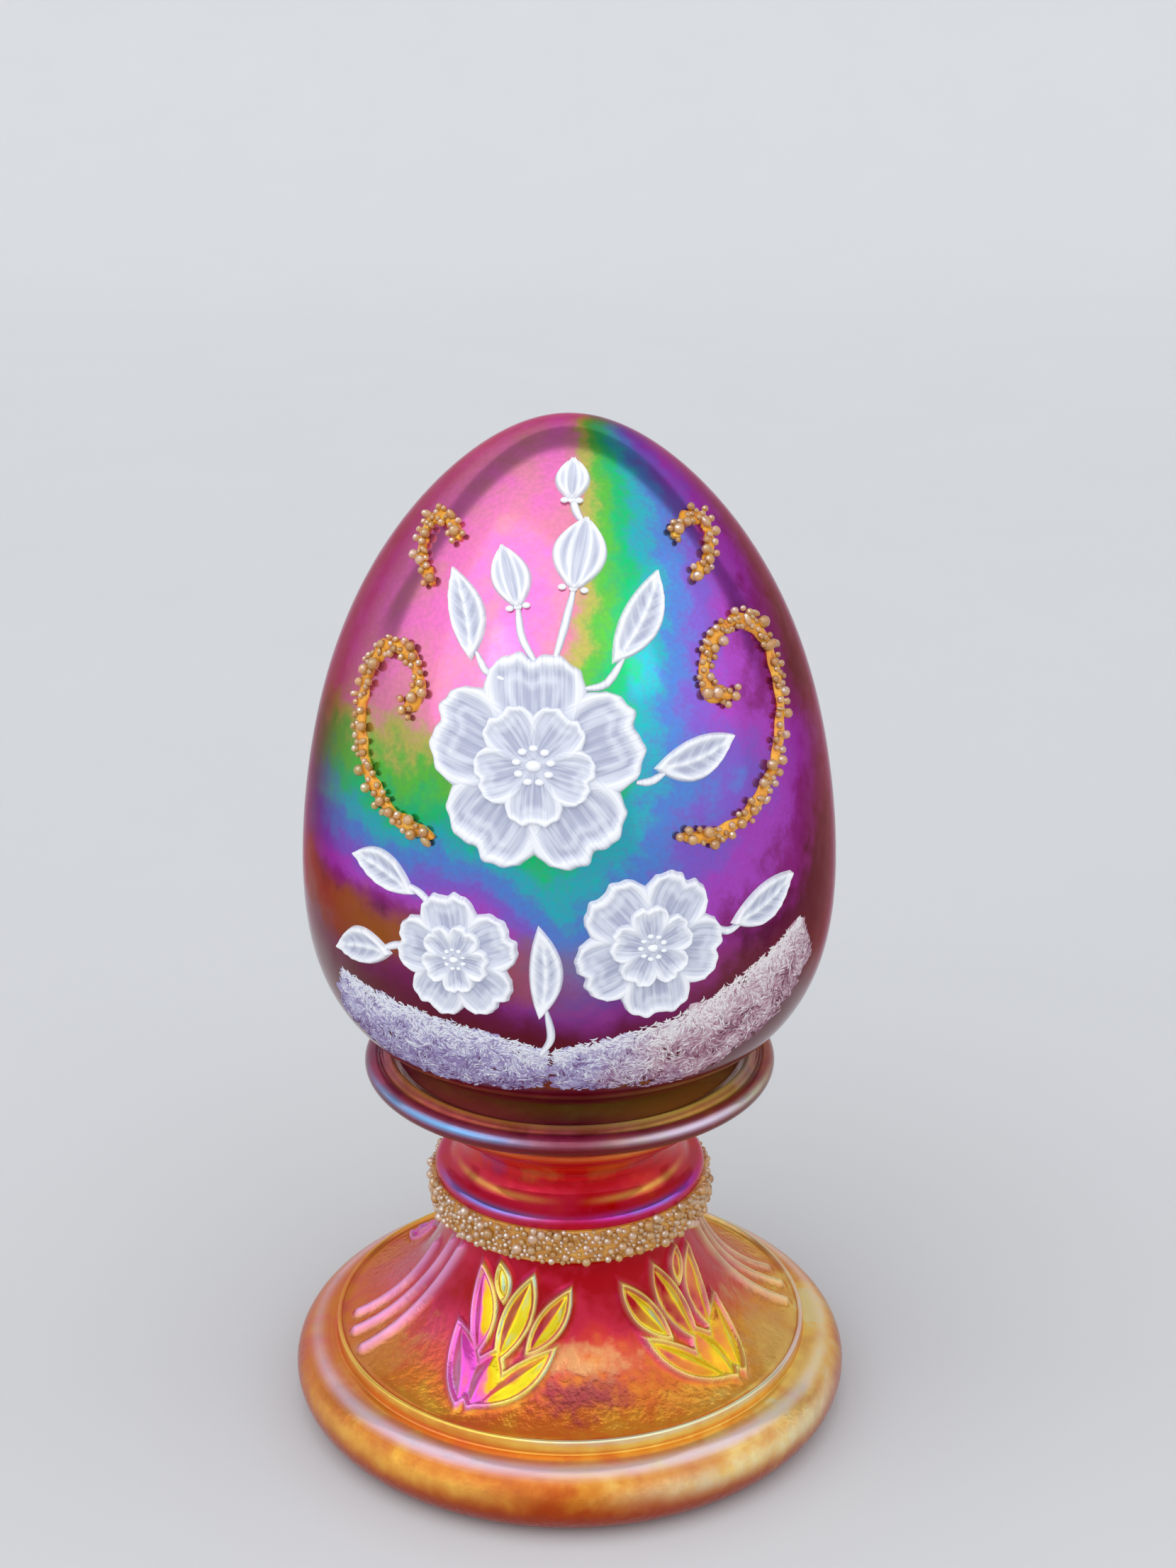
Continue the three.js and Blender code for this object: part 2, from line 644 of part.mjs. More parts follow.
/** A thin strip of dabbed enamel with a ragged edge. */
function drift(item) {
  const path = new THREE.SplineCurve(item.points.map(drawnPoint));
  const columns = 4;
  const points = [];
  const triangles = [];
  for (const offset of [FIT_GAP + DRIFT_THICKNESS, FIT_GAP]) {
    for (let i = 0; i <= item.steps; i += 1) {
      const place = path.getPoint(i / item.steps);
      const tangent = path.getTangent(i / item.steps);
      const swell = Math.sin(Math.PI * (0.12 + (0.76 * i) / item.steps)) ** 0.5;
      const ragged = item.width * drawnScale * swell * (0.86 + 0.28 * spread(i, 9));
      for (let j = 0; j <= columns; j += 1) {
        const aside = ragged * (0.5 - j / columns);
        const length = place.y + tangent.x * aside;
        const azimuth = eggSurface.azimuthAt(place.x - tangent.y * aside, length);
        points.push(eggSurface.point(azimuth, length, offset));
      }
    }
  }
  const row = columns + 1;
  const sheet = row * (item.steps + 1);
  const quad = (a, b, c, d) => triangles.push([a, b, c], [a, c, d]);
  for (let i = 0; i < item.steps; i += 1) {
    for (let j = 0; j < columns; j += 1) {
      const a = i * row + j;
      quad(a, a + 1, a + 1 + row, a + row);
      quad(sheet + a, sheet + a + row, sheet + a + row + 1, sheet + a + 1);
    }
    const low = i * row;
    const high = low + columns;
    quad(low, low + row, sheet + low + row, sheet + low);
    quad(high, sheet + high, sheet + high + row, high + row);
  }
  const end = item.steps * row;
  for (let j = 0; j < columns; j += 1) {
    quad(j, sheet + j, sheet + j + 1, j + 1);
    quad(end + j, end + j + 1, sheet + end + j + 1, sheet + end + j);
  }
  return geometryFrom(solidFrom(indexed(points, triangles)));
}

// Assembly

const stand = new THREE.Group();
stand.add(mesh('pedestal_stand', pedestalStand(), amberGlass));
stand.add(mesh('neck_bead_band', neckBeadBand(), goldBeads));

const egg = new THREE.Group();
egg.add(mesh('egg_shell', eggShell(), rubyGlass));
for (const item of BLOSSOMS) egg.add(mesh(item.name, blossom(item), whiteEnamel));
LEAVES.forEach((item, i) => egg.add(mesh(`leaf_${i + 1}`, leaf(item), whiteEnamel)));
BUDS.forEach((item, i) => egg.add(mesh(`bud_${i + 1}`, leaf(item), whiteEnamel)));
for (const item of SCROLLS) egg.add(mesh(item.name, goldScroll(item), goldBeads));
for (const item of DRIFTS) egg.add(mesh(item.name, drift(item), paleStipple));

const glassEgg = new THREE.Group();
glassEgg.add(stand, egg);

export default glassEgg;
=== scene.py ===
"""Glass egg on a pressed pedestal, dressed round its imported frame.

A hollow blown ruby egg with an iridescent skin, raised white enamel and beaded gold lines rests in the
cup of an amber to ruby glass pedestal. Sizes are in millimetres and become metres when a mesh is made.
+Z is up and the decorated front faces -Y.
"""

import logging
import math
from collections.abc import Callable, Sequence
from dataclasses import dataclass, field
from enum import Enum
from itertools import product

import bpy
import numpy as np
from mathutils import Matrix, Vector


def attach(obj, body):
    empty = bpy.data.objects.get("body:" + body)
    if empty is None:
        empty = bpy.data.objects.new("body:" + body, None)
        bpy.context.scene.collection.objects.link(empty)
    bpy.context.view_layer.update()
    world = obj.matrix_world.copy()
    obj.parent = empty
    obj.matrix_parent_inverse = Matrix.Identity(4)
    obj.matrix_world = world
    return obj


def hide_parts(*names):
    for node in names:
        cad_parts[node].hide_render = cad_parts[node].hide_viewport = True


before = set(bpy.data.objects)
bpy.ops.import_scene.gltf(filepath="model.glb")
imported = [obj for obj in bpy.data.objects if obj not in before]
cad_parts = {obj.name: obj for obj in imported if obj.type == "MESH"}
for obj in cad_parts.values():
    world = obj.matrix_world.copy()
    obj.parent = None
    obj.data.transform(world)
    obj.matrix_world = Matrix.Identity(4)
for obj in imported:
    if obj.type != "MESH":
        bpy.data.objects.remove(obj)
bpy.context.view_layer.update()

MM = 0.001
PHOTO_HEIGHT_PX = 2212
ROUNDING_STEPS = 4
LONGEST_CUT = 0.49
WELD = 0.002 * MM
Array = np.ndarray
Random = np.random.Generator
Colour = tuple[float, float, float, float]
Point = tuple[float, float]
Spot = tuple[float, float, float]
Stops = Sequence[tuple[float, Colour]]
Pick = Callable[[Random], Point]
Piece = bpy.types.Object
Material = bpy.types.Material
Socket = bpy.types.NodeSocket

log = logging.getLogger("glass_egg")


class Slot(Enum):
    """The record's material slots."""

    AMBER_GLASS = "amber_glass"
    RUBY_GLASS = "ruby_glass"
    GOLD_BEADS = "gold_beads"
    WHITE_ENAMEL = "white_enamel"
    PALE_STIPPLE = "pale_stipple"


class Body(Enum):
    """The two loose pieces of glass."""

    STAND = "stand"
    EGG = "egg"


# Small tools


def tone(red: int, green: int, blue: int) -> Colour:
    """Turns a screen colour, 0 to 255 a channel, into the linear colour that a shader takes."""
    def linear(level: int) -> float:
        """One channel."""
        share = level / 255
        return share / 12.92 if share <= 0.04045 else ((share + 0.055) / 1.055) ** 2.4

    return (linear(red), linear(green), linear(blue), 1.0)


def stops(*rows: tuple[float, int, int, int]) -> Stops:
    """The stops of a ramp, from each one's place and screen colour."""
    return tuple((at, tone(*channels)) for at, *channels in rows)


def smoothstep(values: Array, low: float, high: float) -> Array:
    """Eases from 0 at low to 1 at high."""
    share = np.clip((values - low) / (high - low), 0, 1)
    return share * share * (3 - 2 * share)


def ridge(distance: Array, width: float) -> Array:
    """A rounded ridge, 1 on its line and next to nothing two widths away."""
    return np.exp(-((distance / width) ** 2))


def wrapped(angle: Array) -> Array:
    """The same angle, within half a turn of zero."""
    return (angle + math.pi) % (2 * math.pi) - math.pi


def unit(rows: Array) -> Array:
    """Each row at length 1."""
    return rows / np.linalg.norm(rows, axis=1)[:, None]


def turned(x: Array | float, y: Array | float, angle: float, at: Point) -> tuple[Array, Array]:
    """Flat points turned by an angle and moved to a place."""
    c, s = math.cos(angle), math.sin(angle)
    return at[0] + x * c - y * s, at[1] + x * s + y * c


def beside(path: Array, share: Array, t: Array, half: Array) -> tuple[Array, Array]:
    """Places at shares of a path, moved to its left by t times a half width."""
    along = np.linspace(0, 1, len(path))
    middle, heading = (np.column_stack([np.interp(share, along, way[:, k]) for k in range(2)])
                       for way in (path, np.gradient(path, axis=0)))
    heading = unit(heading)
    return middle[:, 0] - heading[:, 1] * t * half, middle[:, 1] + heading[:, 0] * t * half


def spline(points: Sequence[Point], count: int) -> Array:
    """A smooth line through every point, as a count of points spaced evenly along it."""
    knots = np.array(points, float)
    padded = np.vstack([2 * knots[0] - knots[1], knots, 2 * knots[-1] - knots[-2]])
    dense = []
    for i in range(len(knots) - 1):
        a, b, c, d = padded[i : i + 4]
        t = np.linspace(0, 1, 40, endpoint=False)[:, None]
        dense.append(0.5 * (2 * b + (c - a) * t + (2 * a - 5 * b + 4 * c - d) * t**2
                            + (3 * b - a - 3 * c + d) * t**3))
    line = np.vstack([*dense, knots[-1:]])
    reach = np.concatenate([[0], np.cumsum(np.linalg.norm(np.diff(line, axis=0), axis=1))])
    wanted = np.linspace(0, reach[-1], count)
    return np.column_stack([np.interp(wanted, reach, line[:, k]) for k in range(2)])


def arc(centre: Point, radius: Point, start: float, end: float, steps: int) -> list[Point]:
    """Points of an elliptic arc, from one angle to another in degrees."""
    angles = np.radians(np.linspace(start, end, steps + 1))
    return [(centre[0] + radius[0] * math.cos(a), centre[1] + radius[1] * math.sin(a)) for a in angles]


def rounded(corners: Sequence[Spot]) -> list[Point]:
    """Rounds a profile, given each corner's radius, height and how far from it the rounding starts."""
    line: list[Point] = []
    for i, (r, z, cut) in enumerate(corners):
        here = np.array([r, z])
        if cut <= 0 or i in (0, len(corners) - 1):
            line.append((r, z))
            continue
        before, after = np.array(corners[i - 1][:2]) - here, np.array(corners[i + 1][:2]) - here
        start, end = (here + way * min(cut / np.linalg.norm(way), LONGEST_CUT) for way in (before, after))
        line += [tuple((1 - t) ** 2 * start + 2 * t * (1 - t) * here + t * t * end)
                 for t in np.linspace(0, 1, ROUNDING_STEPS + 1)]
    return line


# Bench work with Blender's own tools


def switch(mode: str) -> None:
    """Goes to edit mode or object mode."""
    bpy.ops.object.mode_set(mode=mode)


def bench_clear() -> None:
    """Leaves edit mode and deselects everything."""
    if bpy.context.object and bpy.context.object.mode != "OBJECT":
        switch("OBJECT")
    bpy.ops.object.select_all(action="DESELECT")


def spun(name: str, profile: Sequence[Point], steps: int) -> Piece:
    """Draws a profile of (radius, height) points, and spins it in steps into a closed, smooth piece."""
    bench_clear()
    bpy.ops.mesh.primitive_plane_add(size=MM, location=(0, 0, 0))
    piece = bpy.context.object
    piece.name = piece.data.name = name
    switch("EDIT")
    bpy.ops.mesh.select_mode(type="VERT")
    bpy.ops.mesh.select_all(action="SELECT")
    bpy.ops.mesh.merge(type="CENTER")
    here = Vector((0, 0, 0))
    for i, (radius, height) in enumerate(profile):
        there = Vector((radius, 0, height)) * MM
        if i:
            bpy.ops.mesh.extrude_vertices_move(TRANSFORM_OT_translate={"value": there - here})
        else:
            bpy.ops.transform.translate(value=there - here)
        here = there
    bpy.ops.mesh.select_all(action="SELECT")
    bpy.ops.mesh.spin(steps=steps, angle=2 * math.pi, center=(0, 0, 0), axis=(0, 0, 1))
    bpy.ops.mesh.select_all(action="SELECT")
    bpy.ops.mesh.remove_doubles(threshold=WELD)
    bpy.ops.mesh.normals_make_consistent(inside=False)
    switch("OBJECT")
    bpy.ops.object.shade_smooth()
    return piece


@dataclass(frozen=True)
class Blank:
    """A shape that is modelled once on the bench and copied many times."""

    points: Array
    faces: Array

    @staticmethod
    def taken() -> "Blank":
        """Takes the shape on the bench, and clears the bench."""
        if bpy.context.object.mode != "OBJECT":
            switch("OBJECT")
        mesh = bpy.context.object.data
        blank = Blank(np.array([v.co[:] for v in mesh.vertices]), np.array([p.vertices[:] for p in mesh.polygons]))
        bpy.data.objects.remove(bpy.context.object)
        return blank

    @staticmethod
    def slab(columns: int, rows: int) -> "Blank":
        """A closed slab of square cells: x and y from -1 to 1, its underside at z 0 and its top at 1."""
        bench_clear()
        bpy.ops.mesh.primitive_grid_add(x_subdivisions=columns, y_subdivisions=rows, size=2)
        switch("EDIT")
        bpy.ops.mesh.select_all(action="SELECT")
        bpy.ops.mesh.extrude_region_move(TRANSFORM_OT_translate={"value": (0, 0, 1)})
        bpy.ops.mesh.select_all(action="SELECT")
        bpy.ops.mesh.normals_make_consistent(inside=False)
        return Blank.taken()

    @staticmethod
    def ball(subdivisions: int) -> "Blank":
        """A ball of radius 1 with small even faces."""
        bench_clear()
        bpy.ops.mesh.primitive_ico_sphere_add(subdivisions=subdivisions, radius=1)
        return Blank.taken()


class Heap:
    """Gathers copies of blanks into one piece, with its attributes and its own UV map."""

    def __init__(self, *attributes: str) -> None:
        """Starts empty, with the names of the attributes that each copy brings."""
        self.points: list[Array] = []
        self.faces: list[Array] = []
        self.levels: dict[str, list[Array]] = {name: [] for name in attributes}
        self.flat: list[Array] = []
        self.count = 0

    def add(self, points: Array, faces: Array, flat: Array | None = None, **levels: Array | float) -> None:
        """Adds one copy.

        Args:
            points: its points, in millimetres.
            faces: its faces.
            flat: each point's place on the piece's UV map.
            **levels: each attribute's level, one for the copy or one for each point.
        """
        self.points.append(points)
        self.faces.append(faces + self.count)
        self.flat.append(np.zeros((len(points), 2)) if flat is None else flat)
        for name, kept in self.levels.items():
            kept.append(np.broadcast_to(np.asarray(levels.get(name, 0.0), float), len(points)))
        self.count += len(points)

    def piece(self, name: str) -> Piece:
        """Makes the heap one smooth-shaded piece."""
        mesh = bpy.data.meshes.new(name)
        faces = [face for block in self.faces for face in block.tolist()]
        mesh.from_pydata((np.vstack(self.points) * MM).tolist(), [], faces)
        for level, kept in self.levels.items():
            mesh.attributes.new(level, "FLOAT", "POINT").data.foreach_set("value", np.concatenate(kept))
        corner = np.empty(len(mesh.loops), np.int32)
        mesh.loops.foreach_get("vertex_index", corner)
        mesh.uv_layers.new(name="brush").data.foreach_set("uv", np.vstack(self.flat)[corner].ravel())
        mesh.polygons.foreach_set("use_smooth", np.ones(len(faces), bool))
        mesh.validate()
        made = bpy.data.objects.new(name, mesh)
        bpy.context.scene.collection.objects.link(made)
        return made


def place(piece: Piece, body: Body, slot: Slot, material: Material, *nodes: str) -> None:
    """Gives a piece its finish, its body and the CAD nodes that it stands for."""
    piece.data.materials.clear()
    piece.data.materials.append(material)
    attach(piece, body.value)
    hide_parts(*nodes)
    log.info("%s: %d faces on %s, for %s", piece.name, len(piece.data.polygons), body.value, ", ".join(nodes))


@dataclass(frozen=True)
class Sheet:
    """A turned surface with a flat sheet laid on it, in millimetres across and up from its zero."""

    radii: Array
    heights: Array
    zero: int = 0
    lengths: Array = field(init=False)
    outward: Array = field(init=False)

    def __post_init__(self) -> None:
        """Measures the profile and its outward normals."""
        steps = np.hypot(np.diff(self.radii), np.diff(self.heights))
        lengths = np.concatenate([[0], np.cumsum(steps)])
        slope = np.column_stack([np.gradient(self.heights, lengths), -np.gradient(self.radii, lengths)])
        object.__setattr__(self, "lengths", lengths - lengths[self.zero])
        object.__setattr__(self, "outward", unit(slope))

    def radius(self, up: Array | float) -> Array:
        """The radius at a length up the profile."""
        return np.interp(up, self.lengths, self.radii)

    def lay(self, across: Array, up: Array, lift: Array | float) -> Array:
        """Lays flat points on the surface, at a lift off it."""
        out, rise = (np.interp(up, self.lengths, self.outward[:, k]) for k in range(2))
        radius = self.radius(up)
        turn, reach = across / radius, radius + out * lift
        height = np.interp(up, self.lengths, self.heights) + rise * lift
        return np.column_stack([reach * np.sin(turn), -reach * np.cos(turn), height])


# Finishes


class Nodes:
    """Builds a node tree, node by node."""

    def __init__(self, tree: bpy.types.NodeTree) -> None:
        """Starts on a tree."""
        self.tree = tree

    def node(self, kind: str, inputs: dict, **settings: object) -> bpy.types.Node:
        """Adds a node, with its inputs linked or set."""
        made = self.tree.nodes.new(kind)
        for key, setting in settings.items():
            setattr(made, key, setting)
        for key, given in inputs.items():
            if isinstance(given, bpy.types.NodeSocket):
                self.tree.links.new(given, made.inputs[key])
            else:
                made.inputs[key].default_value = given
        return made

    def math(self, operation: str, *given: Socket | float, clamp: bool = False) -> Socket:
        """One sum."""
        return self.node("ShaderNodeMath", dict(enumerate(given)), operation=operation, use_clamp=clamp).outputs[0]

    def times(self, *given: Socket | float, clamp: bool = False) -> Socket:
        """The product of two numbers."""
        return self.math("MULTIPLY", *given, clamp=clamp)

    def total(self, start: Socket | float, *terms: tuple[Socket, float], clamp: bool = False) -> Socket:
        """The start, with each term added at its weight, held between 0 and 1 if it is clamped."""
        for i, (term, weight) in enumerate(terms, 1):
            start = self.math("MULTIPLY_ADD", term, weight, start, clamp=clamp and i == len(terms))
        return start

    def ease(self, value: Socket, low: float, high: float, start: float = 0.0, end: float = 1.0) -> Socket:
        """Eases from start to end as the value goes from low to high."""
        return self.node("ShaderNodeMapRange", {"Value": value, "From Min": low, "From Max": high, "To Min": start,
                                                "To Max": end}, interpolation_type="SMOOTHSTEP").outputs[0]

    def between(self, factor: Socket, first: Socket | float, second: Socket | float) -> Socket:
        """Goes from the first number to the second."""
        return self.node("ShaderNodeMix", {0: factor, 2: first, 3: second}, data_type="FLOAT").outputs[0]

    def vector(self, operation: str, *given: Socket | Spot) -> Socket:
        """One sum of vectors, a number for a length or a dot product."""
        made = self.node("ShaderNodeVectorMath", dict(enumerate(given)), operation=operation)
        return made.outputs["Value" if operation in ("LENGTH", "DOT_PRODUCT") else "Vector"]

    def dot(self, first: Socket, second: Socket | Spot) -> Socket:
        """The dot product of two vectors."""
        return self.vector("DOT_PRODUCT", first, second)


class Shade(Nodes):
    """Builds one procedural material on object coordinates in millimetres."""

    def __init__(self, name: str, constants: dict[str, float | Colour]) -> None:
        """Starts the material with the values that are the same all over."""
        self.material = bpy.data.materials.new(name)
        self.material.use_nodes = True
        super().__init__(self.material.node_tree)
        self.shader = self.tree.nodes["Principled BSDF"]
        for socket, value in constants.items():
            self.shader.inputs[socket].default_value = value
        found = self.node("ShaderNodeTexCoord", {})
        self.normal = found.outputs["Normal"]
        self.place = self.node("ShaderNodeVectorMath", {0: found.outputs["Object"], "Scale": 1 / MM},
                               operation="SCALE").outputs[0]
        self.x, self.y, self.z = self.node("ShaderNodeSeparateXYZ", {0: self.place}).outputs

    def sideways(self, soft: float) -> Socket:
        """How far to the right a place is round the piece, -1 to 1, eased within a distance of the axis."""
        square = self.total(soft**2, *((self.times(side, side), 1.0) for side in (self.x, self.y)))
        return self.math("DIVIDE", self.x, self.math("SQRT", square))

    def noise(self, per_mm: float, detail: float = 2.0, on: Socket | None = None, distortion: float = 0.0) -> Socket:
        """Noise about zero, with its cells counted per millimetre."""
        made = self.node("ShaderNodeTexNoise", {"Vector": on or self.place, "Scale": per_mm, "Detail": detail,
                                                "Distortion": distortion})
        return self.math("SUBTRACT", made.outputs[0], 0.5)

    def level(self, name: str) -> Socket:
        """The level of one of the piece's own attributes."""
        return self.node("ShaderNodeAttribute", {}, attribute_name=name).outputs["Fac"]

    def ramp(self, factor: Socket, colours: Stops) -> Socket:
        """A colour for each factor."""
        made = self.node("ShaderNodeValToRGB", {0: factor})
        ramp = made.color_ramp
        ramp.interpolation = "EASE"
        while len(ramp.elements) < len(colours):
            ramp.elements.new(0.5)
        for element, (position, colour) in zip(ramp.elements, colours):
            element.position, element.color = position, colour
        return made.outputs[0]

    def blend(self, factor: Socket | float, first: Socket | Colour, second: Socket | Colour) -> Socket:
        """Goes from the first colour to the second."""
        return self.node("ShaderNodeMix", {0: factor, 6: first, 7: second}, data_type="RGBA").outputs[2]

    def feed(self, **sockets: Socket) -> None:
        """Links sockets of the shader, by name with _ for each space."""
        for name, given in sockets.items():
            self.tree.links.new(given, self.shader.inputs[name.replace("_", " ")])

    def done(self, depth_mm: float, height: Socket, **sockets: Socket) -> Material:
        """Finishes the material, with a bump of a depth and of a height that is about 1 from low to high."""
        made = self.node("ShaderNodeBump", {"Height": height, "Distance": depth_mm * MM, "Strength": 1.0})
        self.feed(**sockets, Normal=made.outputs[0])
        return self.material


@dataclass(frozen=True)
class RubySkin:
    """Deep ruby glass under an iridescent skin, whose bands run from pink through green to violet."""

    bands: Stops = stops(
        (0.00, 214, 116, 176), (0.10, 246, 122, 200), (0.20, 236, 140, 170), (0.27, 196, 190, 92),
        (0.34, 92, 204, 70), (0.42, 0, 206, 122), (0.50, 36, 186, 200), (0.58, 84, 140, 224),
        (0.67, 136, 100, 216), (0.77, 184, 76, 204), (0.87, 150, 44, 132), (0.96, 96, 18, 56),
    )
    amber: Colour = tone(166, 92, 22)
    ruby: Colour = tone(84, 3, 20)
    axis_soft: float = 9.0
    left_top: float = 108
    left_fall: float = 27
    right_top: float = 98
    right_fall: float = 32
    right_slope: float = 0.0055

    @staticmethod
    def drop(shade: Shade, top: float, fall: float, power: float) -> Socket:
        """How far below a height a place is, 0 to 1 over a fall, raised to a power."""
        return shade.math("POWER", shade.total(top / fall, (shade.z, -1 / fall), clamp=True), power)

    def made(self) -> Material:
        """Builds the material."""
        shade = Shade("ruby_skin", {"Specular Tint": tone(214, 70, 124), "Coat Weight": 0.12,
                                    "Coat Roughness": 0.05, "IOR": 1.5})
        drift, ripple = shade.noise(0.035), shade.noise(0.12, 3.0, distortion=0.5)
        mottle, grain = shade.noise(0.42, 5.0), shade.noise(1.8, 3.0)
        right = shade.sideways(self.axis_soft)
        on_left = shade.total(0.15, (self.drop(shade, self.left_top, self.left_fall, 2.2), 0.62),
                              (shade.ease(shade.z, 98, 107, 1.0, 0.0), 0.12))
        fall = self.drop(shade, self.right_top, self.right_fall, 1.5)
        on_right = shade.total(0.19 + self.right_slope * 126, (right, 0.5), (shade.z, -self.right_slope),
                               (fall, 0.28), (shade.times(right, shade.ease(shade.z, 97, 106)), 0.24))
        film = shade.between(shade.ease(right, -0.34, 0.06), on_left, on_right)
        film = shade.total(film, (drift, 0.16), (ripple, 0.16), (mottle, 0.15), (grain, 0.05))
        colour = shade.ramp(shade.math("MAXIMUM", film, 0.05), self.bands)
        low = shade.total(shade.z, (right, 4.0), (ripple, 9.0), (mottle, 3.0))
        warm = shade.times(shade.ease(low, 70, 74), shade.ease(low, 77, 81, 1.0, 0.0))
        warm = shade.times(warm, shade.ease(right, -0.4, 0.3, 0.9, 0.15))
        # Toward the bottom the skin gives way to plain ruby with less metal: painted shade.
        deep = shade.ease(low, 66, 77, 1.0, 0.0)
        colour = shade.blend(shade.ease(grain, -0.3, 0.3, 0.0, 0.2), colour, tone(130, 74, 120))
        # Darker toward the left and right sides: painted shade.
        edge = shade.math("ABSOLUTE", right)
        colour = shade.blend(shade.ease(edge, 0.72, 0.98, 0.0, 0.6), colour, tone(104, 30, 70))
        colour = shade.blend(deep, shade.blend(warm, colour, self.amber), self.ruby)
        cover = shade.total(0.84, (deep, -0.72), (mottle, 0.2), clamp=True)
        return shade.done(0.02, shade.total(0.5, (ripple, 0.5), (grain, 0.1)), Base_Color=colour, Metallic=cover,
                          Roughness=shade.total(0.15, (grain, 0.07), (mottle, 0.05)))


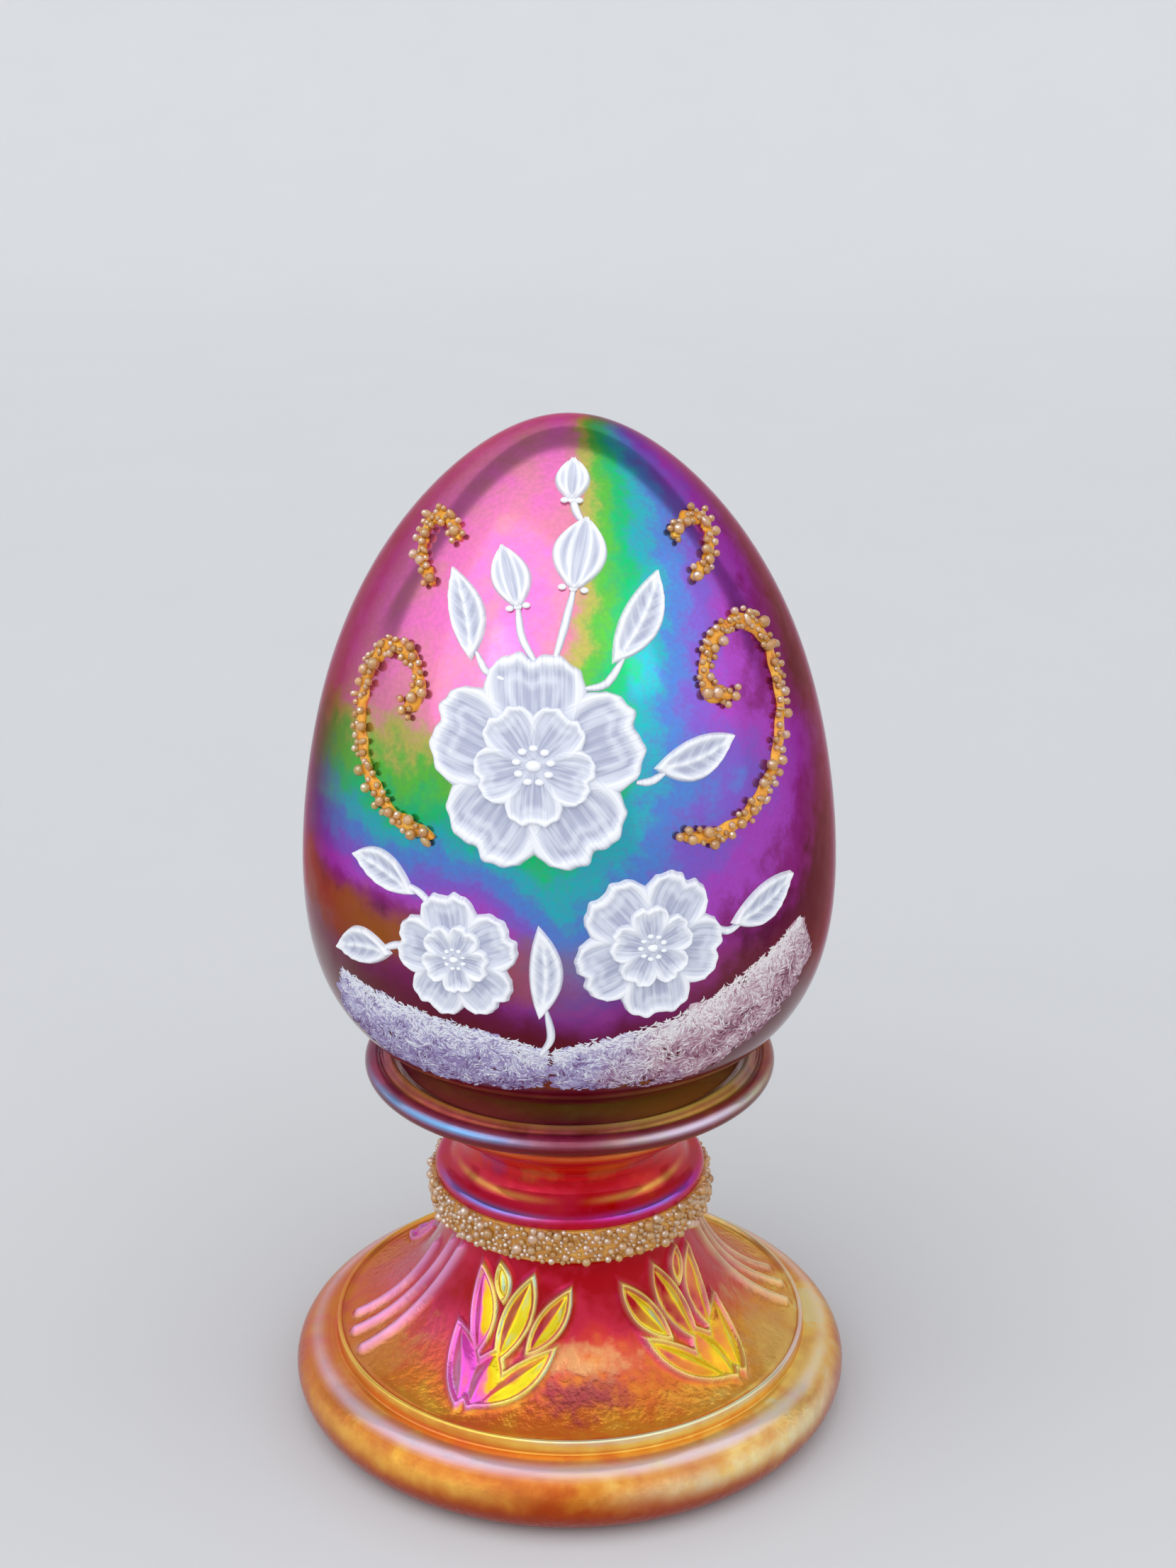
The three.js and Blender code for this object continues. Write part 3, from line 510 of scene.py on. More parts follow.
@dataclass(frozen=True)
class AmberSkin:
    """Pressed glass that goes from amber at the foot to ruby at the cup, under a warm iridescent skin."""

    body: Stops = stops(
        (0.00, 162, 36, 2), (0.10, 196, 70, 14), (0.18, 236, 122, 44), (0.25, 232, 104, 50),
        (0.36, 206, 26, 20), (0.50, 216, 6, 8), (0.80, 236, 8, 8), (0.93, 124, 2, 14),
    )
    skin: Stops = stops(
        (0.00, 112, 116, 224), (0.12, 206, 72, 196), (0.26, 240, 84, 158), (0.38, 228, 92, 92),
        (0.50, 226, 138, 54), (0.62, 238, 184, 62), (0.74, 250, 226, 112), (0.86, 226, 236, 196),
        (1.00, 176, 206, 246),
    )
    leaf: Stops = stops(
        (0.00, 176, 186, 244), (0.20, 255, 92, 236), (0.42, 255, 120, 170), (0.56, 255, 206, 30),
        (0.84, 255, 240, 40), (1.00, 204, 250, 220),
    )
    # Colours of the painted highlight lines and glows.
    lines: Stops = stops(
        (0.00, 96, 140, 236), (0.10, 156, 72, 226), (0.22, 222, 70, 180), (0.42, 226, 104, 84),
        (0.56, 226, 158, 60), (0.70, 250, 220, 104), (0.82, 226, 240, 204), (0.91, 226, 216, 240),
        (1.00, 112, 190, 246),
    )
    hues: Sequence[Point] = ((0.0, 0.5), (0.2, 0.58), (0.3, 0.4), (0.42, 0.24), (0.7, 0.3), (1.0, 0.3))
    covers: Sequence[Point] = ((0.0, -0.1), (0.12, 0.12), (0.2, 0.3), (0.3, 0.34), (0.4, -0.02),
                               (0.5, -0.2), (0.8, -0.2), (0.9, -0.3))
    # Soft patches: centre, reach along each axis, share and colour. The pale one on the front of the dish is a
    # painted highlight and the four at the waist are painted reflections; the others tint the skin by place.
    patches: Sequence[tuple[Spot, Spot, float, Colour]] = (
        ((0.9, -24.0, 12.0), (7.5, 4.5, 9.0), 0.75, tone(150, 44, 84)),
        ((0.9, -19.7, 16.0), (8.5, 9.0, 2.4), 0.75, tone(250, 190, 120)),
        ((-26.0, -12.0, 11.5), (9.0, 9.0, 9.0), 0.6, tone(236, 170, 76)),
        ((27.0, -8.0, 12.0), (9.0, 12.0, 9.0), 0.5, tone(226, 190, 112)),
        ((-4.6, -13.2, 38.8), (4.2, 5.0, 1.9), 0.55, tone(226, 132, 50)),
        ((5.0, -13.2, 39.2), (4.2, 5.0, 1.6), 0.6, tone(220, 112, 30)),
        ((-10.5, -9.5, 39.0), (5.0, 6.0, 3.0), 0.6, tone(196, 60, 140)),
        ((10.5, -9.5, 39.6), (4.5, 6.0, 2.6), 0.5, tone(200, 90, 100)),
        ((8.5, -19.5, 46.4), (8.0, 8.0, 2.0), 0.8, tone(236, 172, 48)),
        ((-9.0, -19.5, 46.4), (9.0, 8.0, 2.2), 0.7, tone(224, 128, 116)),
    )
    top: float = 52.0
    palest: float = 0.8
    crest_highlight_share: float = 0.7
    leaf_metal: float = 0.6

    @staticmethod
    def spot(shade: Shade, centre: Spot, reach: Spot, share: float, rough: Socket) -> Socket:
        """A soft patch: its share at its centre, and nothing beyond its reach along each axis."""
        away = shade.vector("DIVIDE", shade.vector("SUBTRACT", shade.place, centre), reach)
        return shade.ease(shade.total(shade.vector("LENGTH", away), (rough, 2.2)), 0.1, 1.0, share, 0.0)

    def made(self) -> Material:
        """Builds the material."""
        shade = Shade("amber_skin", {"Coat Weight": 0.12, "Coat Roughness": 0.03, "IOR": 1.6})
        drift, ripple = shade.noise(0.05), shade.noise(0.14, 3.0, distortion=0.8)
        mottle, grain = shade.noise(0.5, 4.0), shade.noise(2.2, 3.0)
        crest, lift, painted_light, painted_light_hue, painted_light_metal, pebble = map(
            shade.level, ("crest", "lift", "painted_light", "hue", "metal", "pebble"))
        climb = shade.total(0.0, (shade.z, 1 / self.top))
        body = shade.ramp(climb, self.body)
        hue, cover = (shade.ramp(climb, [(at, (level, level, level, 1.0)) for at, level in levels])
                      for levels in (self.hues, self.covers))
        round_way = shade.node("ShaderNodeCombineXYZ", {0: shade.times(shade.y, -1.0), 1: shade.x}).outputs[0]
        slope = shade.dot(shade.normal, shade.vector("NORMALIZE", round_way))
        rise = shade.dot(shade.normal, (0.0, 0.0, 1.0))
        side = shade.ease(shade.total(shade.x, (ripple, 4.0)), -12.5, -8.5)
        # The film's hue turns with the slope of the surface round the stand, and its cover grows on faces that look
        # up: painted light.
        film = shade.total(hue, (slope, 0.3), (shade.x, 1 / 300), (drift, 0.3), (ripple, 0.42), (mottle, 0.2))
        skin = shade.ramp(shade.math("MINIMUM", film, self.palest), self.skin)
        cover = shade.total(cover, (rise, 0.3), (ripple, 0.75), (drift, 0.5), (mottle, 0.4), clamp=True)
        colour = shade.blend(cover, body, skin)
        # The sprigs' colour also follows the slope of each facet: painted light and shade.
        pressed = shade.times(lift, shade.total(0.82, (ripple, 2.2), (slope, 1.1)), clamp=True)
        leaf = shade.ramp(shade.total(0.16, (side, 0.56), (slope, 0.3), (ripple, 0.3), (mottle, 0.3)), self.leaf)
        rough = shade.total(mottle, (ripple, 0.5))
        for centre, reach, share, patch in self.patches:
            colour = shade.blend(self.spot(shade, centre, reach, share, rough), colour, patch)
        colour = shade.blend(pressed, colour, leaf)
        cover = shade.math("MAXIMUM", cover, shade.times(pressed, self.leaf_metal))
        # Pale pink to pale yellow along the crests of the ribs and leaf rims: a painted highlight.
        pale = shade.blend(side, tone(244, 196, 236), tone(252, 240, 190))
        colour = shade.blend(shade.times(crest, self.crest_highlight_share), colour, pale)
        # Painted highlight lines and glows, each in its own colour.
        colour = shade.blend(painted_light, colour, shade.ramp(shade.total(painted_light_hue, (mottle, 0.12)), self.lines))
        pebbles = shade.times(shade.noise(1.0, 3.0), pebble)
        return shade.done(0.15, shade.total(0.5, (pebbles, 1.8), (grain, 0.04)), Base_Color=colour,
                          Metallic=shade.between(painted_light, shade.times(cover, 0.7), painted_light_metal),
                          Specular_Tint=shade.blend(0.3, body, skin),
                          Transmission_Weight=shade.total(0.5, (cover, -0.5), (painted_light, -0.5), clamp=True),
                          Roughness=shade.total(0.1, (grain, 0.06), (cover, 0.06), (pebble, 0.06)))


def gold_enamel(name: str, colours: Stops) -> Material:
    """Fired gold enamel, from its thin to its thick colour."""
    shade = Shade(name, {"Coat Weight": 0.4, "Coat Roughness": 0.12})
    clouds, grain = shade.noise(0.5), shade.noise(3.0, 3.0)
    colour = shade.ramp(shade.total(0.5, (clouds, 0.9), (grain, 0.6)), colours)
    return shade.done(0.05, shade.total(0.5, (grain, 1.0)), Base_Color=colour,
                      Metallic=shade.total(0.15, (clouds, 0.3)), Roughness=shade.total(0.34, (grain, 0.2)))


def bead_glass() -> Material:
    """Small clear beads, tinted champagne to pink, that pick up the gold under them, with painted light: paler on
    their upper left, a white glint there and a yellow caustic low on the right.
    """
    shade = Shade("bead_glass", {"Coat Weight": 1.0, "Coat Roughness": 0.02, "IOR": 1.55})
    cloud, facet, tint = shade.noise(0.8), shade.noise(1.9, 3.0), shade.level("tint")
    # Painted light: paler where a bead faces up and to the left, with a white glint there and a yellow caustic low on
    # the right.
    painted_lighting = shade.total(shade.dot(shade.normal, (-0.32, -0.68, 0.66)), (facet, 0.5), (tint, 0.1))
    colour = shade.ramp(shade.total(tint, (cloud, 0.5), (painted_lighting, 0.45)), stops(
        (0.0, 148, 84, 22), (0.35, 240, 176, 80), (0.65, 254, 212, 140), (0.9, 254, 226, 196)))
    painted_caustic = shade.ease(shade.dot(shade.normal, (0.38, -0.8, -0.46)), 0.72, 1.0)
    colour = shade.blend(shade.times(painted_caustic, 0.7), colour, tone(255, 206, 104))
    painted_glint = shade.ease(painted_lighting, 0.95, 1.1)
    return shade.done(0.12, shade.total(0.5, (facet, 1.0)),
                      Base_Color=shade.blend(painted_glint, colour, tone(255, 250, 244)),
                      Transmission_Weight=shade.total(0.6, (cloud, 0.3), (painted_glint, -0.6)),
                      Roughness=shade.total(0.04, (cloud, 0.04)))


def white_enamel() -> Material:
    """Raised white enamel, grey-lavender where the brush left it thin and bright on its ridges."""
    shade = Shade("white_enamel", {"Coat Weight": 0.25, "Coat Roughness": 0.2, "IOR": 1.5})
    flat = shade.node("ShaderNodeUVMap", {}, uv_map="brush").outputs[0]
    stretched = shade.node("ShaderNodeMapping", {"Vector": flat, "Scale": (2.6, 0.13, 1.0)}).outputs[0]
    streaks = shade.noise(1.0, 3.0, on=stretched)
    cover = shade.total(shade.level("cover"), (streaks, 0.6), (shade.noise(0.3), 0.25))
    colour = shade.ramp(cover, stops((0.0, 136, 136, 166), (0.3, 174, 178, 202), (0.62, 212, 216, 230),
                                     (0.95, 243, 244, 249)))
    return shade.done(0.06, shade.total(0.5, (streaks, 1.0)), Base_Color=colour,
                      Roughness=shade.total(0.42, (streaks, 0.2)))


def pale_dabs() -> Material:
    """Thin dabbed enamel, from cloudy mauve to white."""
    shade = Shade("pale_dabs", {"Coat Weight": 0.15, "Coat Roughness": 0.3, "IOR": 1.5})
    fine, clouds = shade.noise(3.0, 3.0), shade.noise(0.22, 3.0)
    paint = shade.total(shade.level("tint"), (fine, 0.5), (clouds, 0.5))
    pink, violet = (shade.ramp(paint, colours) for colours in (
        stops((0.0, 104, 34, 60), (0.3, 164, 112, 136), (0.6, 206, 178, 190), (0.95, 238, 230, 232)),
        stops((0.0, 92, 48, 104), (0.3, 142, 122, 176), (0.6, 184, 178, 214), (0.95, 232, 234, 244))))
    turn = shade.ease(shade.total(shade.x, (shade.noise(0.12, 3.0), 22.0)), 1.0, 13.0)
    return shade.done(0.03, shade.total(0.5, (fine, 1.0)), Base_Color=shade.blend(turn, violet, pink),
                      Roughness=shade.total(0.55, (fine, 0.3)))


# Pedestal


@dataclass(frozen=True)
class Leaflet:
    """One pressed leaflet, from the tip of its sprig."""

    across: float
    up: float
    turn: float
    length: float
    width: float
    bend: float


@dataclass(frozen=True)
class Rib:
    """One rib beside a seam, in degrees toward the front, and the lengths up the dish that it spans."""

    ahead: float
    draw_in: float
    first: float
    last: float


@dataclass
class Pedestal:
    """The pressed stand: rolled foot, ridge, dish with ribs and sprigs, collar, waist, step ring and cup.

    Each row of painted lights is a painted highlight or reflection of the lamps that runs round it, or a painted
    glow in the cup under the egg: its radius and height on the profile, its reach, its hue and how that swings
    from left to right, its strength, how metallic it is and how far it breaks at the front, back and sides.
    """

    skin: Material
    sides: int = 216
    foot_radius: float = 37.5
    roll: Point = (5.4, 4.65)
    rest_width: float = 3.2
    dish: Sequence[Point] = ((16.3, 27.2), (17.4, 21.5), (22.0, 13.0), (31.0, 10.6))
    dish_reach: float = 0.2
    sheet_rows: int = 400
    dish_rows: int = 35
    hollow_rows: int = 25
    glass: float = 5.0
    collar: Spot = (18.0, 28.0, 34.7)
    collar_edge: float = 0.9
    rim_centre: Point = (25.6, 49.4)
    rim_roll: float = 1.35
    pattern_turn: float = 11.0
    ribs: Sequence[Rib] = (Rib(10.5, 12, 0.2, 22.7), Rib(2, 13, 0.2, 22.7), Rib(-5.5, 6, 1.0, 19.6))
    rib_width: float = 0.82
    rib_fill: float = 0.6
    sprig_spacing: float = 77.0
    sprig_tip: float = 2.5
    leaflets: Sequence[Leaflet] = (
        Leaflet(-2.9, 5.5, 117, 12.6, 5.0, 0.02),
        Leaflet(4.7, 5.0, 47, 13.6, 4.2, 0.01),
        Leaflet(6.6, 13.0, 60, 11.0, 3.8, 0.01),
        Leaflet(2.2, 12.9, 77, 13.2, 4.2, 0.0),
        Leaflet(-2.5, 12.9, 104, 12.8, 3.9, 0.01),
        Leaflet(-0.6, 17.2, 105, 6.0, 2.4, 0.0),
        Leaflet(0.5, 4.4, 84, 9.4, 5.4, 0.0),
    )
    rim_inset: float = 0.28
    rim_width: float = 0.34
    leaf_rise: float = 1.1
    rib_rise: float = 0.8
    least_relief: float = 0.02
    # Painted highlights and reflections of the lamps along rolls, ridges and rings, and a painted glow in the cup.
    painted_lights: Sequence[tuple[float, ...]] = (
        (31.65, 11.1, 0.42, 0.76, 0.12, 0.95, 0.6, 0.0),
        (32.05, 9.5, 0.3, 0.56, 0.08, 0.7, 0.8, 0.0),
        (34.6, 8.65, 0.95, 0.9, -0.03, 0.8, 0.35, 0.2),
        (36.95, 6.2, 1.6, 0.72, 0.1, 0.7, 0.2, 1.0),
        (15.3, 35.7, 0.4, 0.68, 0.06, 0.8, 0.6, 1.0),
        (14.6, 40.6, 1.3, 0.5, 0.12, 0.45, 0.6, 0.8),
        (17.65, 34.5, 0.55, 0.04, 0.09, 0.95, 0.8, 0.75),
        (19.4, 44.2, 0.6, 0.6, 0.1, 0.55, 0.8, 0.5),
        (22.5, 46.6, 2.4, 0.52, 0.14, 0.3, 0.5, 0.6),
        (17.0, 50.4, 1.4, 0.56, 0.1, 1.0, 0.0, 0.0),
        (18.7, 50.4, 0.45, 0.07, 0.03, 0.8, 0.2, 0.3),
        (20.9, 50.4, 2.0, 0.5, 0.14, 0.9, 0.2, 1.0),
        (23.4, 51.1, 1.0, 0.66, 0.16, 0.95, 0.1, 0.6),
        (24.9, 50.5, 0.6, 0.6, 0.2, 0.7, 0.1, 1.0),
        (26.7, 50.05, 0.5, 0.93, -0.11, 0.95, 0.6, 0.85),
    )

    def dish_points(self, count: int) -> Array:
        """Points of the dish's curve, from the collar down to the ridge."""
        a, b, c, d = (np.array(p) for p in self.dish)
        t = np.linspace(0, 1, count)[:, None]
        return (1 - t) ** 3 * a + 3 * t * (1 - t) ** 2 * b + 3 * t * t * (1 - t) * c + t**3 * d

    def dish_sheet(self) -> Sheet:
        """The dish as a sheet, with its zero at the ridge."""
        points = self.dish_points(self.sheet_rows)[::-1]
        return Sheet(points[:, 0], points[:, 1])

    def profile(self) -> list[Point]:
        """The whole profile, from the middle of the cup round to the middle of the hollow foot."""
        radius, low, high = self.collar
        edge = self.collar_edge
        roll_centre = (self.foot_radius - self.roll[0], self.roll[1])
        cup = rounded([(0, 43.45, 0), (11.8, 43.45, 1.2), (14.6, 49.45, 1.0), (16.0, 50.35, 0.7),
                       (22.35, 50.4, 0.5), (23.15, 50.9, 0.3), (23.75, 51.2, 0.4), (24.45, 50.8, 0.3),
                       (24.85, 50.3, 0.3), (25.3, 50.72, 0)])
        neck = rounded([(25.3, 48.08, 0), (22.0, 46.2, 1.6), (19.6, 44.6, 0.5), (19.3, 43.4, 0.6),
                        (18.5, 42.5, 0.5), (15.0, 40.8, 1.7), (13.7, 39.05, 1.1), (14.1, 36.65, 1.0),
                        (15.3, 35.5, 0.6), (16.0, 34.75, 0.5), (radius - edge, high, 0)])
        skirt = rounded([(radius, high - edge, 0), (radius, low + 0.4, 0.3), (radius - 0.5, low, 0.3),
                         (self.dish[0][0] + 0.02, self.dish[0][1] + 0.3, 0)])
        ridge_line = rounded([self.dish[-1] + (0,), (31.35, 11.15, 0.25), (31.85, 11.05, 0.25), (32.0, 9.25, 0.3),
                              (33.04, 9.24, 0)])
        rest = roll_centre[0] + self.rest_width / 2
        under = rounded([(rest + 0.5, 0.0, 0), (rest, 0, 0.2), (rest - self.rest_width, 0, 0.4),
                         (rest - self.rest_width - 0.9, 0.9, 0.4)])
        curve = self.dish_points(self.hollow_rows)[::-1]
        tangent = unit(np.gradient(curve, axis=0))
        hollow = [(point[0] - along[1] * self.glass, point[1] + along[0] * self.glass)
                  for point, along in zip(curve[::2], tangent[::2])]
        crown = (0.0, hollow[-1][1] + 0.6)
        return [*cup[:-1], *arc(self.rim_centre, (self.rim_roll,) * 2, 100, -100, 16), *neck[1:-1],
                *arc((radius - edge, high - edge), (edge, edge), 90, 0, 4), *skirt[1:-1],
                *[tuple(p) for p in self.dish_points(self.dish_rows)[:-1]], *ridge_line[:-1],
                *arc(roll_centre, self.roll, 80, -66, 24), *under[1:], *hollow, crown]

    def relief(self, azimuth: Array, up: Array, sheet: Sheet) -> tuple[Array, Array, Array]:
        """The pressed ornament of the dish.

        Args:
            azimuth: each point's azimuth, in radians.
            up: each point's length up the dish.
            sheet: the dish.

        Returns:
            Each point's height in millimetres, how much it lies on a crest, and how much in the ornament.
        """
        height, crest, filled = np.zeros((3, len(up)))
        radius = sheet.radius(up)
        climb = np.clip((up - 0.4) / (sheet.lengths[-1] - 1.6), 0, 1)
        for (seam, side), rib in product(((90.0, 1), (270.0, -1)), self.ribs):
            line = np.radians(self.pattern_turn + seam - side * (rib.ahead + rib.draw_in * climb**2.4))
            window = smoothstep(up, rib.first, rib.first + 1.4) * smoothstep(up, rib.last, rib.last - 1.8)
            rise = ridge(wrapped(azimuth - line) * radius, self.rib_width) * window
            height, crest, filled = map(np.maximum, (height, crest, filled),
                                        (self.rib_rise * rise, rise, self.rib_fill * rise))
        for half, side in product((0.0, 180.0), (-0.5, 0.5)):
            tip = math.radians(self.pattern_turn + half + side * self.sprig_spacing)
            sprig = self.sprig_relief(-1 if side > 0 else 1, tip, azimuth, up, sheet)
            height, crest, filled = map(np.maximum, (height, crest, filled), sprig)
        return height, crest, filled

    def sprig_relief(self, inward: int, tip: float, azimuth: Array, up: Array,
                     sheet: Sheet) -> tuple[Array, Array, Array]:
        """One sprig's height, crest and inside: keeled leaflets that run together inside one raised edge."""
        joined, keel, vein = (np.full(len(up), level) for level in (-99.0, 0.0, 0.0))
        for leaflet in self.leaflets:
            along = self.sprig_tip + leaflet.up
            centre = tip + inward * leaflet.across / sheet.radius(along)
            turn = math.radians(leaflet.turn if inward > 0 else 180 - leaflet.turn)
            du, dv = wrapped(azimuth - centre) * sheet.radius(up), up - along
            x = du * math.cos(turn) + dv * math.sin(turn)
            y = -du * math.sin(turn) + dv * math.cos(turn) - inward * leaflet.bend * x * x
            half_length, half_width = leaflet.length / 2, leaflet.width / 2
            lean = 1 / np.sqrt(1 + (2 * half_width * x / half_length**2) ** 2)
            inside = (half_width * (1 - (x / half_length) ** 2) - np.abs(y)) * lean
            joined = np.maximum(joined, inside)
            keel = np.maximum(keel, smoothstep(inside, 0.4, half_width * 0.95))
            vein = np.maximum(vein, ridge(y, 0.24) * smoothstep(inside, 0.5, 1.2))
        near = smoothstep(joined, -0.7, 0.05)
        rim = ridge(joined - self.rim_inset, self.rim_width) * near
        rise = np.maximum(0.8 * rim, 0.24 * near + 0.66 * keel + 0.1 * vein)
        return self.leaf_rise * rise, 0.6 * rim**1.5, smoothstep(joined, -0.1, 0.15)

    def build(self) -> None:
        """Builds the pressed glass."""
        sheet = self.dish_sheet()
        stand = spun("pedestal_glass", self.profile(), self.sides)
        self.refine(stand, sheet)
        self.press(stand, sheet)
        place(stand, Body.STAND, Slot.AMBER_GLASS, self.skin, "pedestal_stand")

    def on_dish(self, points: Array, sheet: Sheet) -> tuple[Array, Array, Array]:
        """Which points lie on the dish, with each point's azimuth and length up it."""
        x, y, z = points.T
        up = np.interp(z, sheet.heights, sheet.lengths)
        inside = (z > sheet.heights[0] - 0.001) & (z < sheet.heights[-1] + 0.001)
        return inside & (np.abs(np.hypot(x, y) - sheet.radius(up)) < self.dish_reach), np.arctan2(x, -y), up

    def refine(self, stand: Piece, sheet: Sheet) -> None:
        """Divides the faces that the ornament is pressed into."""
        mesh = stand.data
        centres = np.array([p.center[:] for p in mesh.polygons]) / MM
        dish, azimuth, up = self.on_dish(centres, sheet)
        wanted = np.zeros(len(centres), bool)
        for beside_face, above_face in product((-0.9, 0.0, 0.9), (-0.7, 0.0, 0.7)):
            height, _, _ = self.relief(azimuth + beside_face / sheet.radius(up), up + above_face, sheet)
            wanted |= height > self.least_relief
        bench_clear()
        bpy.context.view_layer.objects.active = stand
        stand.select_set(True)
        for parts in (mesh.polygons, mesh.edges, mesh.vertices):
            parts.foreach_set("select", np.zeros(len(parts), bool))
        mesh.polygons.foreach_set("select", wanted & dish)
        switch("EDIT")
        bpy.ops.mesh.select_mode(type="FACE")
        bpy.ops.mesh.subdivide(number_cuts=2)
        switch("OBJECT")

    def press(self, stand: Piece, sheet: Sheet) -> None:
        """Presses the ornament into the dish, and notes its crests, its pebbled ground and the painted highlight
        lines.
        """
        mesh = stand.data
        points = np.empty(len(mesh.vertices) * 3)
        mesh.vertices.foreach_get("co", points)
        points = points.reshape(-1, 3) / MM
        dish, azimuth, up = self.on_dish(points, sheet)
        flat_radius = np.hypot(points[:, 0], points[:, 1])
        height, crest, filled = self.relief(azimuth, up, sheet)
        laid = sheet.lay(np.zeros(len(up)), up, height)
        reach = np.hypot(laid[:, 0], laid[:, 1])
        points[dish] = np.column_stack([reach * np.sin(azimuth), -reach * np.cos(azimuth), laid[:, 2]])[dish]
        mesh.vertices.foreach_set("co", (points * MM).ravel())
        ground = smoothstep(up, 0.3, 2.0) * smoothstep(up, 17.0, 10.0) * (1 - np.clip(height, 0, 1))
        on_roll = 0.6 * smoothstep(flat_radius, 33.5, 35.0) * smoothstep(points[:, 2], 8.6, 7.0)
        levels = {"crest": np.where(dish, crest, 0.0), "lift": np.where(dish, filled, 0.0),
                  "pebble": np.where(dish, ground, on_roll), **self.painted_light(points, flat_radius, azimuth)}
        for name, level in levels.items():
            mesh.attributes.new(name, "FLOAT", "POINT").data.foreach_set("value", level)
        mesh.update()

    def painted_light(self, points: Array, radius: Array, azimuth: Array) -> dict[str, Array]:
        """How far each point lies in a painted highlight line or glow, and the hue and metal of the lines there."""
        # Painted highlight lines, dimmed at the front, back and sides.
        radii, heights, reach, hue, swing, strength, metal, broken = np.array(self.painted_lights).T
        apart = np.column_stack([radius, points[:, 2]])[:, None] - np.column_stack([radii, heights])[None]
        shares = strength * ridge(np.linalg.norm(apart, axis=2), reach)
        shares *= 1 - np.outer(np.cos(2 * azimuth) ** 4, broken)
        shares *= 1 - 0.5 * np.sin(azimuth)[:, None] ** 6
        total = np.maximum(shares.sum(axis=1), 1e-9)
        hues = hue + np.outer(points[:, 0] / 30 + 0.35 * np.sin(5 * azimuth + 1), swing)
        return {"painted_light": shares.max(axis=1), "hue": (shares * hues).sum(axis=1) / total,
                "metal": shares @ metal / total}


@dataclass
class BeadSower:
    """Strews small glass beads, none of them deep in another."""

    blank: Blank
    seed: int
    small: float = 0.36
    large: float = 0.82
    usual: float = 0.72
    large_share: float = 0.12
    crowding: float = 0.92
    paleness: float = 1.0
    height: float = 0.55
    drawn_share: float = 0.08
    drawn: Spot = (1.45, 0.85, 0.85)

    def sow(self, tries: int, pick: Pick, around: float = math.inf) -> list[Spot]:
        """Strews beads on a sheet.

        Args:
            tries: how many beads to try.
            pick: gives a place on the sheet, across and up.
            around: the distance round the sheet, where its ends meet.

        Returns:
            The place and radius of each bead that found room.
        """
        random = np.random.default_rng(self.seed)
        kept = np.empty((0, 3))
        for i in range(tries):
            largest = self.large if i < tries * self.large_share else self.large * self.usual
            radius = self.small + (largest - self.small) * random.random() ** 1.4
            u, v = pick(random)
            gap_u = np.abs(kept[:, 0] - u)
            gap_u = np.minimum(gap_u, around - gap_u)
            if np.any(np.hypot(gap_u, kept[:, 1] - v) < self.crowding * (kept[:, 2] + radius)):
                continue
            kept = np.vstack([kept, (u, v, radius)])
        return [tuple(row) for row in kept]

    def add(self, heap: Heap, sheet: Sheet, bead: Spot, ground: float) -> None:
        """Adds one bead to a heap, sunk a little into its ground, with a turn and a tint of its own.

        Its middle lies above the ground by its height, a share of its radius. A few beads are drawn out.
        """
        u, v, radius = bead
        random = np.random.default_rng([self.seed, int(abs(u) * 997), int(abs(v) * 991)])
        turn = Matrix.Rotation(random.random() * 6, 3, "X") @ Matrix.Rotation(random.random() * 6, 3, "Z")
        stretch = np.array(self.drawn) if random.random() < self.drawn_share else np.ones(3)
        centre = sheet.lay(u, v, ground + radius * self.height)
        points = (self.blank.points * stretch * radius) @ np.array(turn).T + centre
        heap.add(points, self.blank.faces, tint=random.random() * self.paleness)


@dataclass
class NeckBand:
    """The gold band round the collar, thick with beads."""

    gold: Material
    beads: Material
    sower: BeadSower
    sheet_radius: float = 18.0
    low: float = 28.5
    high: float = 33.2
    thickness: float = 0.45
    tries: int = 9000
    sides: int = 144

    def build(self) -> None:
        """Builds the band and its beads."""
        inner, outer = self.sheet_radius - 0.05, self.sheet_radius + self.thickness
        ring = rounded([(inner, self.low, 0), (outer, self.low, 0.3), (outer, self.high, 0.3), (inner, self.high, 0)])
        place(spun("neck_band_enamel", ring, self.sides), Body.STAND, Slot.GOLD_BEADS, self.gold, "neck_bead_band")
        around, tall = 2 * math.pi * self.sheet_radius, self.high - self.low
        heights = np.linspace(self.low - 1, self.high + 1, 30)
        sheet = Sheet(np.full(len(heights), self.sheet_radius), heights)

        def pick(random: Random) -> Point:
            """Somewhere on the band, a little thinner at its edges."""
            return random.random() * around, tall / 2 + 1 + (random.random() - 0.5) * (tall - 0.3)

        heap = Heap("tint")
        for bead in self.sower.sow(self.tries, pick, around):
            self.sower.add(heap, sheet, bead, self.thickness * 0.6)
        place(heap.piece("neck_band_beads"), Body.STAND, Slot.GOLD_BEADS, self.beads, "neck_bead_band")


# Egg


